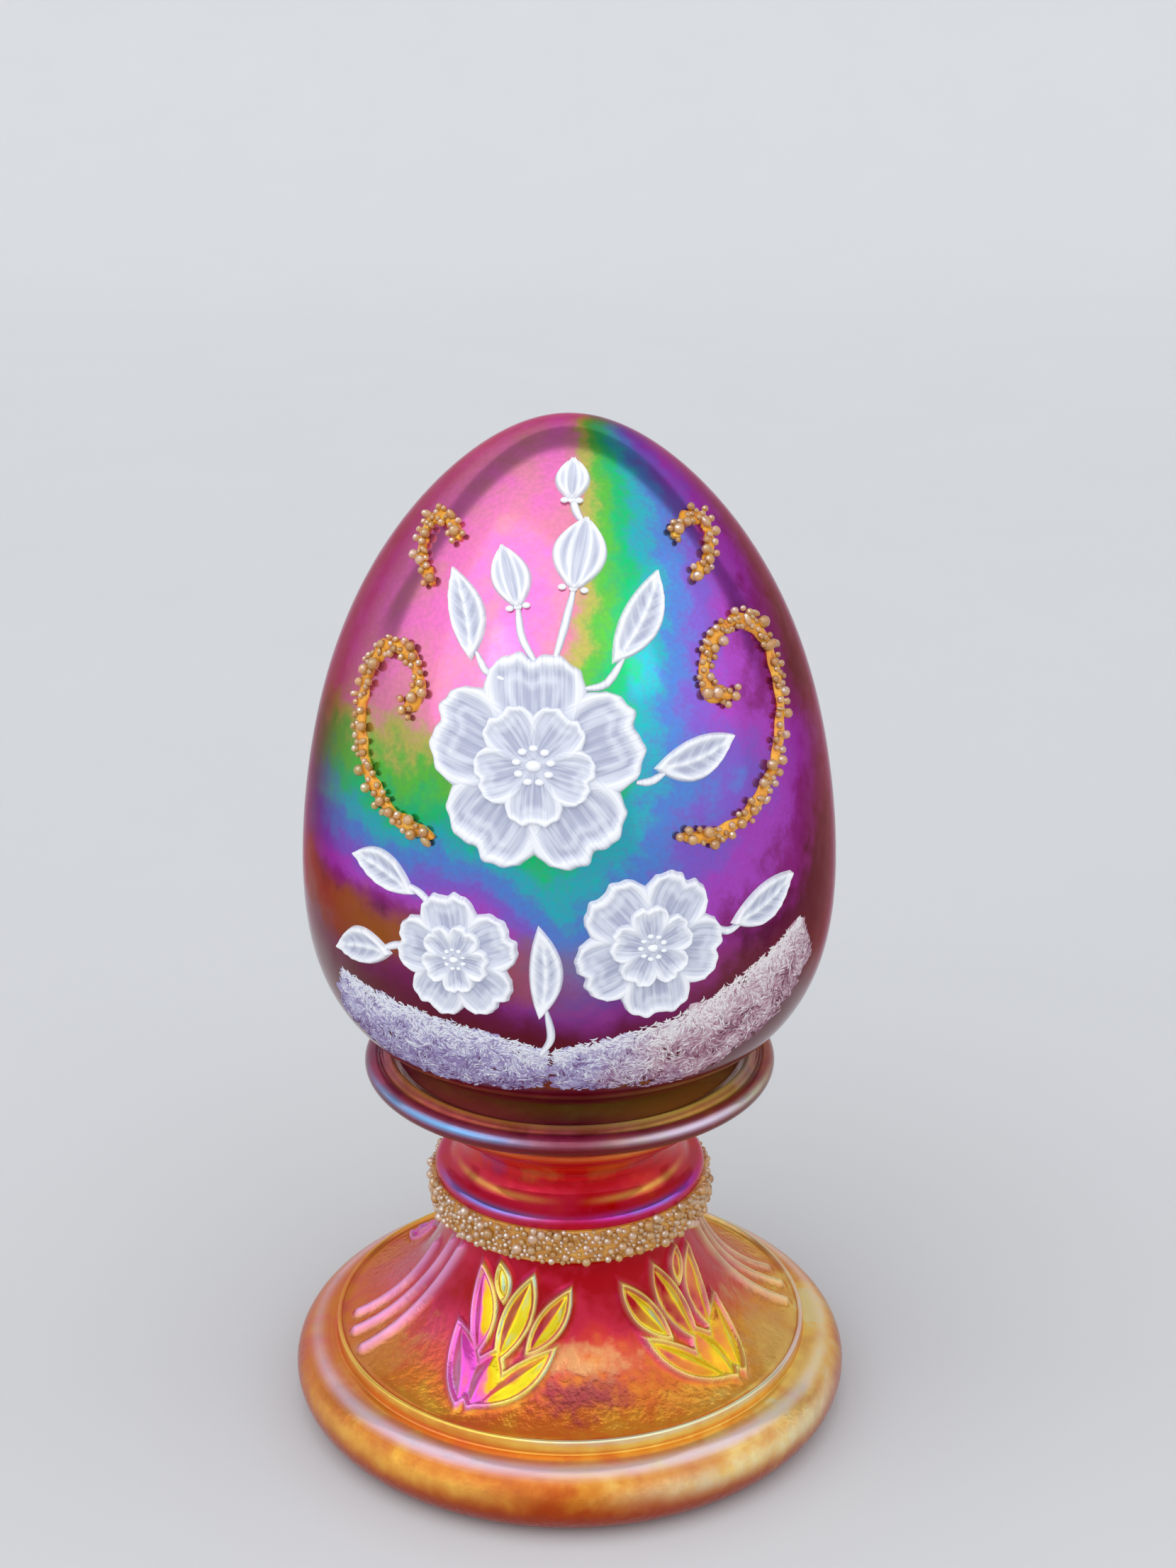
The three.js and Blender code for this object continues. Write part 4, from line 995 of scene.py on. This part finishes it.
@dataclass(frozen=True)
class EggForm:
    """The outline of the blown egg, and the sheet laid on it with its zero at the widest ring's front."""

    radius: float = 32.6
    half_height: float = 42.8
    taper: float = 0.224
    swell: float = -0.196
    fullness: float = 0.208
    wall: float = 3.2
    hole_radius: float = 7.0
    seat: Point = (16.0, 50.65)

    def outline(self, angle: Array) -> tuple[Array, Array]:
        """Radius, and height above the middle, at polar angles from the top."""
        c = np.cos(angle)
        shape = 1 - self.taper * c - self.swell * c * c - self.fullness * c**3
        return self.radius * np.sin(angle) * shape, self.half_height * c

    def lower_angle(self, radius: float) -> float:
        """The polar angle in the lower half at which the egg has a radius."""
        angles = np.linspace(math.pi * 0.6, math.pi, 20001)
        radii, _ = self.outline(angles)
        return float(np.interp(-radius, -radii, angles))

    def middle(self) -> float:
        """The height of the egg's middle, from its seat."""
        _, drop = self.outline(np.array([self.lower_angle(self.seat[0])]))
        return self.seat[1] - float(drop[0])

    def sheet(self) -> Sheet:
        """The outside as a sheet."""
        radii, heights = self.outline(np.linspace(math.pi, 0, 2401))
        radii = np.maximum(radii, 1e-4)
        return Sheet(radii, heights + self.middle(), int(np.argmax(radii)))


@dataclass
class EggShell:
    """The hollow blown shell, open at its hidden lower end."""

    form: EggForm
    skin: Material
    sides: int = 160
    rings: int = 110
    inner_step: int = 3
    inner_least: float = 0.4

    def build(self) -> None:
        """Spins the outside and the inside in one profile."""
        form, middle = self.form, self.form.middle()
        angles = np.linspace(form.lower_angle(form.hole_radius), 0, self.rings)
        radii, heights = form.outline(angles)
        slope = unit(np.column_stack([np.gradient(heights, angles), -np.gradient(radii, angles)]))
        inner = (np.column_stack([radii, heights]) + slope * form.wall)[::self.inner_step]
        inner[:, 0] = np.maximum(inner[:, 0], 0)
        outside, inside = ([(float(r), float(z) + middle) for r, z in rows]
                           for rows in (zip(radii, heights), inner[::-1]))
        outside[-1] = (0.0, outside[-1][1])
        inside = [p for p in inside if p[0] > self.inner_least]
        lip, crown = outside[0], (0.0, outside[-1][1] - form.wall)
        closed = [*outside, crown, *inside[:-1], (lip[0], lip[1] + form.wall), lip]
        place(spun("egg_glass", closed, self.sides), Body.EGG, Slot.RUBY_GLASS, self.skin, "egg_shell")


@dataclass(frozen=True)
class Motif:
    """One enamel motif: its place on the egg's sheet, its direction in degrees and its size."""

    at: Point
    turn: float
    length: float
    width: float
    stem: Sequence[Point] = ()


@dataclass
class EnamelSpray:
    """Raised white enamel: three blossoms, seven leaves and three buds on fine stems."""

    sheet: Sheet
    enamel: Material
    petal: Blank = field(default_factory=lambda: Blank.slab(44, 26))
    leaf: Blank = field(default_factory=lambda: Blank.slab(28, 34))
    line: Blank = field(default_factory=lambda: Blank.slab(6, 30))
    dot: Blank = field(default_factory=lambda: Blank.ball(3))
    sunk: float = 0.08
    stem_width: float = 1.0
    edge_sunk: float = 0.03
    blossoms: Sequence[tuple[str, Point, float, float]] = (
        ("blossom_large", (-4, 24), 13, 90),
        ("blossom_middle", (9.5, 2.5), 9.3, 60),
        ("blossom_small", (-13.5, 0.5), 8, 100),
    )
    leaves: Sequence[Motif] = (
        Motif((-23.6, 9.2), 165, 10.4, 4.6, ((-16.2, 5.6), (-17.6, 7.2), (-19.6, 8.2))),
        Motif((-12.2, 40.6), 105, 11, 5, ((-7.4, 33.4), (-9.6, 34.2), (-10.8, 36.2))),
        Motif((8.4, 40.2), 62, 12, 5.2, ((1.6, 32.6), (4.2, 33.2), (6.2, 36.0))),
        Motif((15.2, 23.6), 12, 11, 5, ((7.6, 21.8), (9.4, 21.8), (11.2, 22.7))),
        Motif((25.2, 4.6), 20, 11, 5, ((17.4, 3.6), (19.4, 2.6), (21.4, 3.2))),
        Motif((-27.6, -1.4), 192, 10.5, 4.8, ((-19.8, 0.6), (-21.4, 0.4), (-23.8, -0.6))),
        Motif((-2.7, -0.5), 90, 12, 4, ((-3.4, -11.6), (-2.2, -9.0), (-2.7, -5.2))),
    )
    buds: Sequence[Motif] = (
        Motif((1.2, 48.5), 80, 9.5, 6.4, ((-1.8, 35.4), (-0.6, 39.6), (0.6, 44.6))),
        Motif((-6.8, 45.4), 105, 8, 5, ((-3.6, 35.2), (-5.4, 38.4), (-5.9, 42.2))),
        Motif((0.4, 58.4), 88, 6.5, 4.2, ((1.6, 52.4), (0.8, 54.0), (0.3, 56.2))),
    )

    def build(self) -> None:
        """Builds each motif as a piece of its own."""
        heaps = {name: self.blossom(at, radius, turn) for name, at, radius, turn in self.blossoms}
        heaps |= {f"leaf_{i}": self.leaf_heap(motif) for i, motif in enumerate(self.leaves, 1)}
        heaps |= {f"bud_{i}": self.bud_heap(motif) for i, motif in enumerate(self.buds, 1)}
        for node, heap in heaps.items():
            place(heap.piece(f"{node}_enamel"), Body.EGG, Slot.WHITE_ENAMEL, self.enamel, node)

    def lay(self, heap: Heap, blank: Blank, x: Array, y: Array, rise: Array, cover: Array, flat: Array,
            at: Point, turn: float) -> None:
        """Turns flat work to its place and lays it on the egg.

        Args:
            heap: where the laid copy goes.
            blank: the slab that the work is made of.
            x: each point's distance along the motif.
            y: each point's distance across it.
            rise: each top point's height off the glass.
            cover: how white and thick the enamel is at each point.
            flat: each point's place on the UV map.
            at: the motif's place on the sheet.
            turn: the motif's direction in degrees.
        """
        lift = np.where(blank.points[:, 2] > 0.5, rise, -self.sunk)
        heap.add(self.sheet.lay(*turned(x, y, math.radians(turn), at), lift), blank.faces, flat, cover=cover)

    def add_petal(self, heap: Heap, at: Point, turn: float, radius: float, start: float, width: float,
                  lift: float) -> None:
        """Adds one ruffled petal with a raised edge, from near the flower's middle out to its radius."""
        t, q = self.petal.points[:, 0], (self.petal.points[:, 1] + 1) / 2
        q = 1 - (1 - q) ** 1.35  # rows crowd toward the ruffled edge
        reach = radius * (1 - 0.20 * np.abs(t) ** 2.4 - 0.07 * ridge(t, 0.22) + 0.012 * np.cos(15 * t + turn))
        soft = 0.24 + 0.05 * radius
        flare = 0.24 + 0.76 * np.sin(np.minimum(q / 0.72, 1) * math.pi / 2) - 0.10 * smoothstep(q, 0.72, 1)
        x, y = start + (reach - start) * q, t * width * flare
        edge = np.minimum(width * flare * (1 - np.abs(t)), (reach - start) * (1 - q))
        rim, fold = ridge(edge - soft, soft * 0.95), ridge(edge - 0.5 * width, 0.5) * smoothstep(q, 0.3, 0.6)
        rim = rim * (0.25 + 0.75 * smoothstep(q, 0.15, 0.6))
        # Brush lines: some follow the edge, the others run out along the petal.
        brushed = (0.5 + 0.5 * np.cos(5.2 * edge + 0.8 * np.sin(4 * t + turn))) * smoothstep(edge, 2.2 * soft, soft)
        lines = 0.5 + 0.3 * np.cos(30 * t + 2.2 * np.sin(2.4 * q + turn)) + 0.2 * np.cos(11 * t + 3 * q)
        lines = np.maximum(lines * 0.8, brushed)
        body = smoothstep(edge, 0.0, 0.4)
        rise = body * (0.2 + lift + 0.55 * rim + 0.14 * fold + 0.09 * lines * (1 - rim)) - self.edge_sunk
        cover = 0.26 + 0.66 * rim + 0.24 * fold + 0.3 * lines * (1 - rim) + 0.12 * smoothstep(q, 0.35, 0.0)
        self.lay(heap, self.petal, x, y, rise, cover, np.column_stack([y + 3 * t, x]), at, turn)

    def add_dot(self, heap: Heap, u: float, v: float, radius: float, lift: float = 0.0) -> None:
        """Adds one raised dot."""
        centre = self.sheet.lay(u, v, lift)
        points = self.dot.points * radius
        out = centre[0] / np.linalg.norm(centre[0] * (1, 1, 0))
        flatten = points - np.outer(points @ out, out) * 0.35 / float(out @ out)
        heap.add(flatten + centre, self.dot.faces, cover=1.0)

    def blossom(self, at: Point, radius: float, turn: float) -> Heap:
        """Five outer petals, five inner ones and a ring of dots."""
        heap = Heap("cover")
        for k in range(5):
            self.add_petal(heap, at, turn + 72 * k, radius, radius * 0.1, radius * 0.47, 0.04 * (k % 2))
        for k in range(5):
            self.add_petal(heap, at, turn + 36 + 72 * k, radius * 0.56, radius * 0.04, radius * 0.27, 0.3)
        for k in range(9):
            dot = turned(radius * 0.15, 0.0, math.radians(turn + 40 * k), at)
            self.add_dot(heap, *dot, radius * 0.042, 0.45)
        self.add_dot(heap, *at, radius * 0.07, 0.45)
        return heap

    def add_stem(self, heap: Heap, path: Sequence[Point]) -> None:
        """Adds a fine stroke of enamel that tapers at both ends."""
        t, q = self.line.points[:, 0], (self.line.points[:, 1] + 1) / 2
        half = 0.5 * self.stem_width * (0.35 + 0.65 * np.sin(math.pi * np.clip(q, 0.02, 0.98)) ** 0.6)
        u, v = beside(spline(path, 200), q, t, half)
        rise = 0.02 + 0.34 * np.sqrt(np.maximum(1 - t * t, 0))
        cover = 0.45 + 0.5 * (1 - t * t)
        self.lay(heap, self.line, u, v, rise, cover, np.column_stack([u, v]), (0.0, 0.0), 0.0)

    def oval(self, motif: Motif) -> tuple[Array, Array, Array, Array]:
        """A pointed oval: distance along, distance across, place across from -1 to 1, and distance to the edge."""
        t, q = self.leaf.points[:, 0], self.leaf.points[:, 1]
        q = np.sin(q * math.pi / 2)
        half_length, half_width = motif.length / 2, motif.width / 2
        x = q * half_length
        wide = np.maximum(half_width * (1 - q * q), 0.02)
        return x, t * wide, t, wide * (1 - np.abs(t))

    def leaf_heap(self, motif: Motif) -> Heap:
        """One leaf with a raised edge, a vein and brush lines that run out from it."""
        heap = Heap("cover")
        x, y, _, edge = self.oval(motif)
        y = y + 0.025 * x * x
        rim, vein = ridge(edge - 0.5, 0.5), ridge(y - 0.025 * x * x, 0.34)
        lines = 0.5 + 0.5 * np.cos(3.4 * (x - 1.1 * np.abs(y)))
        rise = smoothstep(edge, 0.0, 0.3) * (0.2 + 0.36 * rim + 0.2 * vein + 0.1 * lines) - self.edge_sunk
        cover = 0.3 + 0.62 * rim + 0.5 * vein + 0.22 * lines * (1 - rim)
        flat = np.column_stack([x - 1.1 * np.abs(y), y])
        self.lay(heap, self.leaf, x, y, rise, cover, flat, motif.at, motif.turn)
        self.add_stem(heap, motif.stem)
        return heap

    def bud_heap(self, motif: Motif) -> Heap:
        """One closed bud: three folds side by side, and a cup of small dots at its base."""
        heap = Heap("cover")
        x, y, t, edge = self.oval(motif)
        rim = ridge(edge - 0.5, 0.5)
        folds = ridge(t - 0.33, 0.16) + ridge(t + 0.33, 0.16)
        lines = 0.5 + 0.5 * np.cos(17 * t)
        rise = smoothstep(edge, 0.0, 0.3) * (0.28 + 0.3 * rim + 0.22 * folds + 0.08 * lines) - self.edge_sunk
        cover = 0.32 + 0.6 * rim + 0.4 * folds + 0.2 * lines
        self.lay(heap, self.leaf, x, y, rise, cover, np.column_stack([y + 2 * t, x]), motif.at, motif.turn)
        for k in (-1, 0, 1):
            dot = turned(-motif.length * 0.46, k * motif.width * 0.2, math.radians(motif.turn), motif.at)
            self.add_dot(heap, *dot, 0.5, 0.15)
        self.add_stem(heap, motif.stem)
        return heap


@dataclass
class GoldScrolls:
    """Gold enamel lines, thick with beads, that curl beside the spray."""

    sheet: Sheet
    gold: Material
    beads: Material
    sower: BeadSower
    width: float = 2.4
    height: float = 0.5
    rows: int = 110
    places: int = 600
    beads_per_mm: float = 15
    scrolls: Sequence[tuple[str, Sequence[Point]]] = (
        ("gold_scroll_left", ((-16, 14.5), (-22, 16), (-27, 21), (-28.4, 28), (-25.4, 34), (-20.6, 34.6),
                              (-18.4, 31.2), (-20.6, 28))),
        ("gold_scroll_right", ((12.6, 15), (19, 14.6), (25.4, 18.4), (29, 25.6), (28, 33.6), (22.8, 38),
                               (17.4, 36.2), (16.6, 31.4), (20.6, 29.6))),
        ("gold_scroll_small_left", ((-17.2, 43), (-20, 46), (-19.8, 50), (-16, 51.2), (-13.6, 49))),
        ("gold_scroll_small_right", ((15.2, 44), (18.6, 46.4), (19, 50.2), (15.4, 51.4), (12.8, 49.4))),
    )

    def build(self) -> None:
        """Builds each scroll as an enamel line and its beads."""
        strip = Blank.slab(8, self.rows)
        for name, knots in self.scrolls:
            path = spline(knots, self.places)
            reach = float(np.linalg.norm(np.diff(path, axis=0), axis=1).sum())
            place(self.line(name, strip, path), Body.EGG, Slot.GOLD_BEADS, self.gold, name)
            heap = Heap("tint")
            for bead in self.sower.sow(int(reach * self.beads_per_mm), self.picker(path)):
                self.sower.add(heap, self.sheet, bead, self.height * 0.55)
            place(heap.piece(f"{name}_beads"), Body.EGG, Slot.GOLD_BEADS, self.beads, name)

    def picker(self, path: Array) -> Pick:
        """Gives places on a line, spread evenly across its width."""
        heading = unit(np.gradient(path, axis=0))

        def pick(random: Random) -> Point:
            """One place on the line."""
            i = random.integers(len(path))
            aside = self.width * 0.46 * (random.random() * 2 - 1)
            return path[i, 0] - heading[i, 1] * aside, path[i, 1] + heading[i, 0] * aside

        return pick

    def line(self, name: str, strip: Blank, path: Array) -> Piece:
        """The low, uneven line of gold enamel under the beads."""
        t, q = strip.points[:, 0], (strip.points[:, 1] + 1) / 2
        ragged = 1 + 0.2 * np.sin(0.9 * len(path) * q / 12 + 3 * t) + 0.14 * np.sin(91 * q + 2 * t)
        ends = np.sqrt(np.clip(np.minimum(q, 1 - q) / 0.03, 0.02, 1))
        u, v = beside(path, q, t, 0.36 * self.width * ragged * ends)
        rise = np.where(strip.points[:, 2] > 0.5, 0.02 + self.height * np.sqrt(np.maximum(1 - t * t, 0)), -0.08)
        heap = Heap()
        heap.add(self.sheet.lay(u, v, rise), strip.faces)
        return heap.piece(f"{name}_enamel")


@dataclass
class Stipple:
    """Dabbed pale enamel under the flowers: fine curved strokes over a thin cloudy ground."""

    sheet: Sheet
    paint: Material
    stroke: Blank = field(default_factory=lambda: Blank.slab(3, 1))
    cloud: Blank = field(default_factory=lambda: Blank.ball(2))
    clouds: int = 230
    seed: int = 71
    places: int = 400
    drifts: Sequence[tuple[str, Sequence[Point], float, int]] = (
        ("stipple_left", ((-33, -10), (-21, -13.4), (-3.2, -14.6)), 11.6, 4700),
        ("stipple_right", ((-1.2, -14.6), (13, -13.2), (24, -8.8), (34, -2.6)), 11.6, 5500),
    )

    def build(self) -> None:
        """Builds each drift as a heap of dabs."""
        for drift, (name, knots, width, count) in enumerate(self.drifts):
            random = np.random.default_rng(self.seed + drift)
            path = spline(knots, self.places)
            heading = unit(np.gradient(path, axis=0))
            aside = np.column_stack([-heading[:, 1], heading[:, 0]])
            heap = Heap("tint")
            for k in range(self.clouds + count):
                ground = k < self.clouds
                share = random.random() if ground else random.random() * 1.04 - 0.02
                i = int(np.clip(share, 0, 1) * (len(path) - 1))
                out = random.random() * 2 - 1
                out = math.copysign(abs(out) ** 0.8, out) * (0.86 if ground else 1.0)
                swell = math.sin(math.pi * (0.12 + 0.76 * np.clip(share, 0, 1))) ** 0.5
                at = path[i] + out * swell * 0.5 * width * aside[i] + random.normal(0, 0.2, 2)
                if random.random() > 1.5 - 1.3 * max(-out, 0.0) ** 1.4 + 0.65 * self.clump(*at):
                    continue
                if ground:
                    self.add_cloud(heap, random, at, out)
                else:
                    self.add_stroke(heap, random, at, math.atan2(heading[i, 1], heading[i, 0]), out)
            place(heap.piece(f"{name}_dabs"), Body.EGG, Slot.PALE_STIPPLE, self.paint, name)

    @staticmethod
    def clump(u: float, v: float) -> float:
        """How thick the dabs lie at a place, from -1 to 1."""
        return 0.55 * math.sin(1.1 * u + 0.9 * math.sin(0.9 * v)) * math.cos(1.3 * v + 0.4 * u) + 0.45 * math.sin(
            0.45 * u - 0.8 * v + 1.2 * math.sin(0.6 * u))

    def add_cloud(self, heap: Heap, random: Random, at: Array, out: float) -> None:
        """Adds one wide thin dab of the ground, paler toward the upper edge."""
        reach, turn = 0.7 + 0.7 * random.random(), random.normal(0.0, 0.5)
        shape = self.cloud.points
        u, v = turned(shape[:, 0] * reach * 1.5, shape[:, 1] * reach * 0.7, turn, at)
        tint = 0.24 + 0.16 * out + 0.2 * random.random()
        heap.add(self.sheet.lay(u, v, shape[:, 2] * 0.05), self.cloud.faces, tint=tint)

    def add_stroke(self, heap: Heap, random: Random, at: Array, heading: float, out: float) -> None:
        """Adds one fine curved stroke, which follows the swirl of the strokes round it."""
        edge = smoothstep(abs(out), 0.5, 0.95)
        length, half = (0.35 + 0.45 * random.random()) * (1 - 0.35 * edge), 0.055 + 0.06 * random.random()
        swirl = 1.2 * math.sin(0.7 * at[0] + 0.5 * at[1]) + 1.0 * math.sin(0.4 * at[0] - 1.0 * at[1])
        turn = heading + (math.pi / 2 + swirl + random.normal(0.0, 0.3)) * (1 - edge) + random.normal(0.0, 0.5) * edge
        t = self.stroke.points[:, 0]
        x = t * length
        y = self.stroke.points[:, 1] * half * (1.05 - 0.75 * t * t) + (0.8 if random.random() < 0.7 else -0.8) * x * x
        u, v = turned(x, y, turn, at)
        lift = np.where(self.stroke.points[:, 2] > 0.5, 0.07 + 0.06 * random.random(), -0.02)
        tint = 0.58 + 0.26 * out + 0.25 * smoothstep(out, 0.5, 0.95) + 0.18 * self.clump(*at)
        tint = np.clip(tint + random.normal(0, 0.2), 0, 1)
        heap.add(self.sheet.lay(u, v, lift * (1 - 0.6 * t * t)), self.stroke.faces, tint=tint)


# Studio


@dataclass(frozen=True)
class Lamp:
    """A soft square lamp that faces the object."""

    name: str
    place: Spot
    size: float
    watts: float


@dataclass
class Studio:
    """The pale floor, the soft light all round and the camera at the photograph's viewing angle."""

    focal_px: float = 3324.0
    sensor: float = 36.0
    camera_place: Spot = (0.0, -0.2805, 0.1888)
    pitch: float = 19.94
    yaw: float = 0.478
    roll: float = 0.106
    aim: Spot = (0.0, 0.0, 0.07)
    lamps: Sequence[Lamp] = (
        Lamp("key", (-0.55, -0.62, 0.80), 1.1, 1.5),
        Lamp("fill", (0.75, -0.55, 0.45), 1.1, 0.6),
        Lamp("left_glint", (-0.60, -0.78, 0.74), 0.3, 0.2),
        Lamp("right_glint", (0.62, -0.76, 0.70), 0.3, 0.14),
    )
    key_way: Spot = (-0.36, -0.66, 0.66)
    floor_size: float = 6.0
    backdrop: float = 1.6
    backdrop_curve: float = 0.7

    def build(self) -> None:
        """Builds the floor, lamps, world and camera."""
        self.floor()
        for lamp in self.lamps:
            self.light(lamp)
        self.world()
        self.camera()

    def pick_far_edge(self, floor: Piece) -> None:
        """Selects the edge at the floor's far end."""
        for edge in floor.data.edges:
            ends = [floor.data.vertices[v].co for v in edge.vertices]
            edge.select = all(end.y > self.backdrop - 0.1 and end.z < 0.01 for end in ends)

    def floor(self) -> None:
        """A plain floor that sweeps up into a backdrop far behind."""
        bench_clear()
        bpy.ops.mesh.primitive_plane_add(size=self.floor_size, location=(0, 0, 0))
        floor = bpy.context.object
        floor.name = "floor"
        switch("EDIT")
        bpy.ops.mesh.select_all(action="DESELECT")
        switch("OBJECT")
        for vertex in floor.data.vertices:
            vertex.co.y = min(vertex.co.y, self.backdrop)
        self.pick_far_edge(floor)
        switch("EDIT")
        bpy.ops.mesh.select_mode(type="EDGE")
        bpy.ops.mesh.extrude_region_move(TRANSFORM_OT_translate={"value": (0, 0, self.backdrop)})
        switch("OBJECT")
        self.pick_far_edge(floor)
        switch("EDIT")
        bpy.ops.mesh.bevel(offset=self.backdrop_curve, segments=16, affect="EDGES")
        switch("OBJECT")
        bpy.ops.object.shade_smooth()
        shade = Shade("floor_paper", {"Specular IOR Level": 0.2})
        grain = shade.noise(0.02)
        colour = shade.blend(shade.total(0.5, (grain, 0.4)), tone(212, 213, 216), tone(218, 219, 221))
        shade.feed(Base_Color=colour, Roughness=shade.total(0.7, (grain, 0.1)))
        floor.data.materials.append(shade.material)

    def light(self, lamp: Lamp) -> None:
        """One square lamp, aimed at the object."""
        bench_clear()
        bpy.ops.object.light_add(type="AREA", location=lamp.place)
        made = bpy.context.object
        made.name = lamp.name
        made.data.energy, made.data.size = lamp.watts, lamp.size
        made.rotation_mode = "QUATERNION"
        made.rotation_quaternion = (Vector(self.aim) - Vector(lamp.place)).to_track_quat("-Z", "Y")

    def world(self) -> None:
        """Soft light: plain and pale near the horizon, brighter high in front and dim high behind."""
        world = bpy.context.scene.world or bpy.data.worlds.new("studio")
        bpy.context.scene.world = world
        world.use_nodes = True
        nodes = Nodes(world.node_tree)
        sky = world.node_tree.nodes["Background"]
        sky.inputs["Color"].default_value = (0.96, 0.98, 1.0, 1.0)
        way = nodes.node("ShaderNodeTexCoord", {}).outputs["Generated"]
        tent = nodes.ease(nodes.dot(way, (0.0, -1.0, 0.22)), -0.2, -0.12, 0.22, 1.0)
        tent = nodes.math("ADD", tent, nodes.ease(nodes.dot(way, self.key_way), 0.35, 1.0, 0.0, 0.3))
        high = nodes.ease(nodes.dot(way, (0.0, 0.0, 1.0)), 0.08, 0.30)
        world.node_tree.links.new(nodes.between(high, 0.76, tent), sky.inputs["Strength"])

    def camera(self) -> None:
        """The camera, where the photograph's outlines put it."""
        bench_clear()
        bpy.ops.object.camera_add(location=self.camera_place)
        camera = bpy.context.object
        camera.name = "camera"
        camera.data.sensor_width = self.sensor
        camera.data.lens = self.sensor * self.focal_px / PHOTO_HEIGHT_PX
        camera.data.clip_start, camera.data.clip_end = 0.01, 30
        camera.rotation_mode = "XYZ"
        turn = (Matrix.Rotation(-math.radians(self.yaw), 3, "Z")
                @ Matrix.Rotation(math.radians(90 - self.pitch), 3, "X")
                @ Matrix.Rotation(math.radians(self.roll), 3, "Z"))
        camera.rotation_euler = turn.to_euler()
        bpy.context.scene.camera = camera


def main() -> None:
    """Builds the object and its studio."""
    logging.basicConfig(level=logging.INFO, format="%(message)s")
    bpy.context.scene.view_settings.view_transform = "Standard"
    gold = gold_enamel("gold_enamel", stops((0.2, 204, 106, 14), (0.5, 244, 164, 28), (0.8, 255, 206, 76)))
    beads, bead, sheet = bead_glass(), Blank.ball(2), EggForm().sheet()
    Studio().build()
    Pedestal(AmberSkin().made()).build()
    # The band's gold is darker than the scrolls': painted shade between its crowded beads.
    shaded_band_gold = gold_enamel("shaded_band_gold", stops((0.2, 150, 86, 22), (0.5, 206, 142, 50), (0.8, 240, 184, 82)))
    NeckBand(shaded_band_gold, beads, BeadSower(bead, seed=11, small=0.3, large=0.74, crowding=0.84)).build()
    EggShell(EggForm(), RubySkin().made()).build()
    EnamelSpray(sheet, white_enamel()).build()
    GoldScrolls(sheet, gold, beads, BeadSower(bead, seed=23, paleness=0.5)).build()
    Stipple(sheet, pale_dabs()).build()


if __name__ == "__main__":
    main()
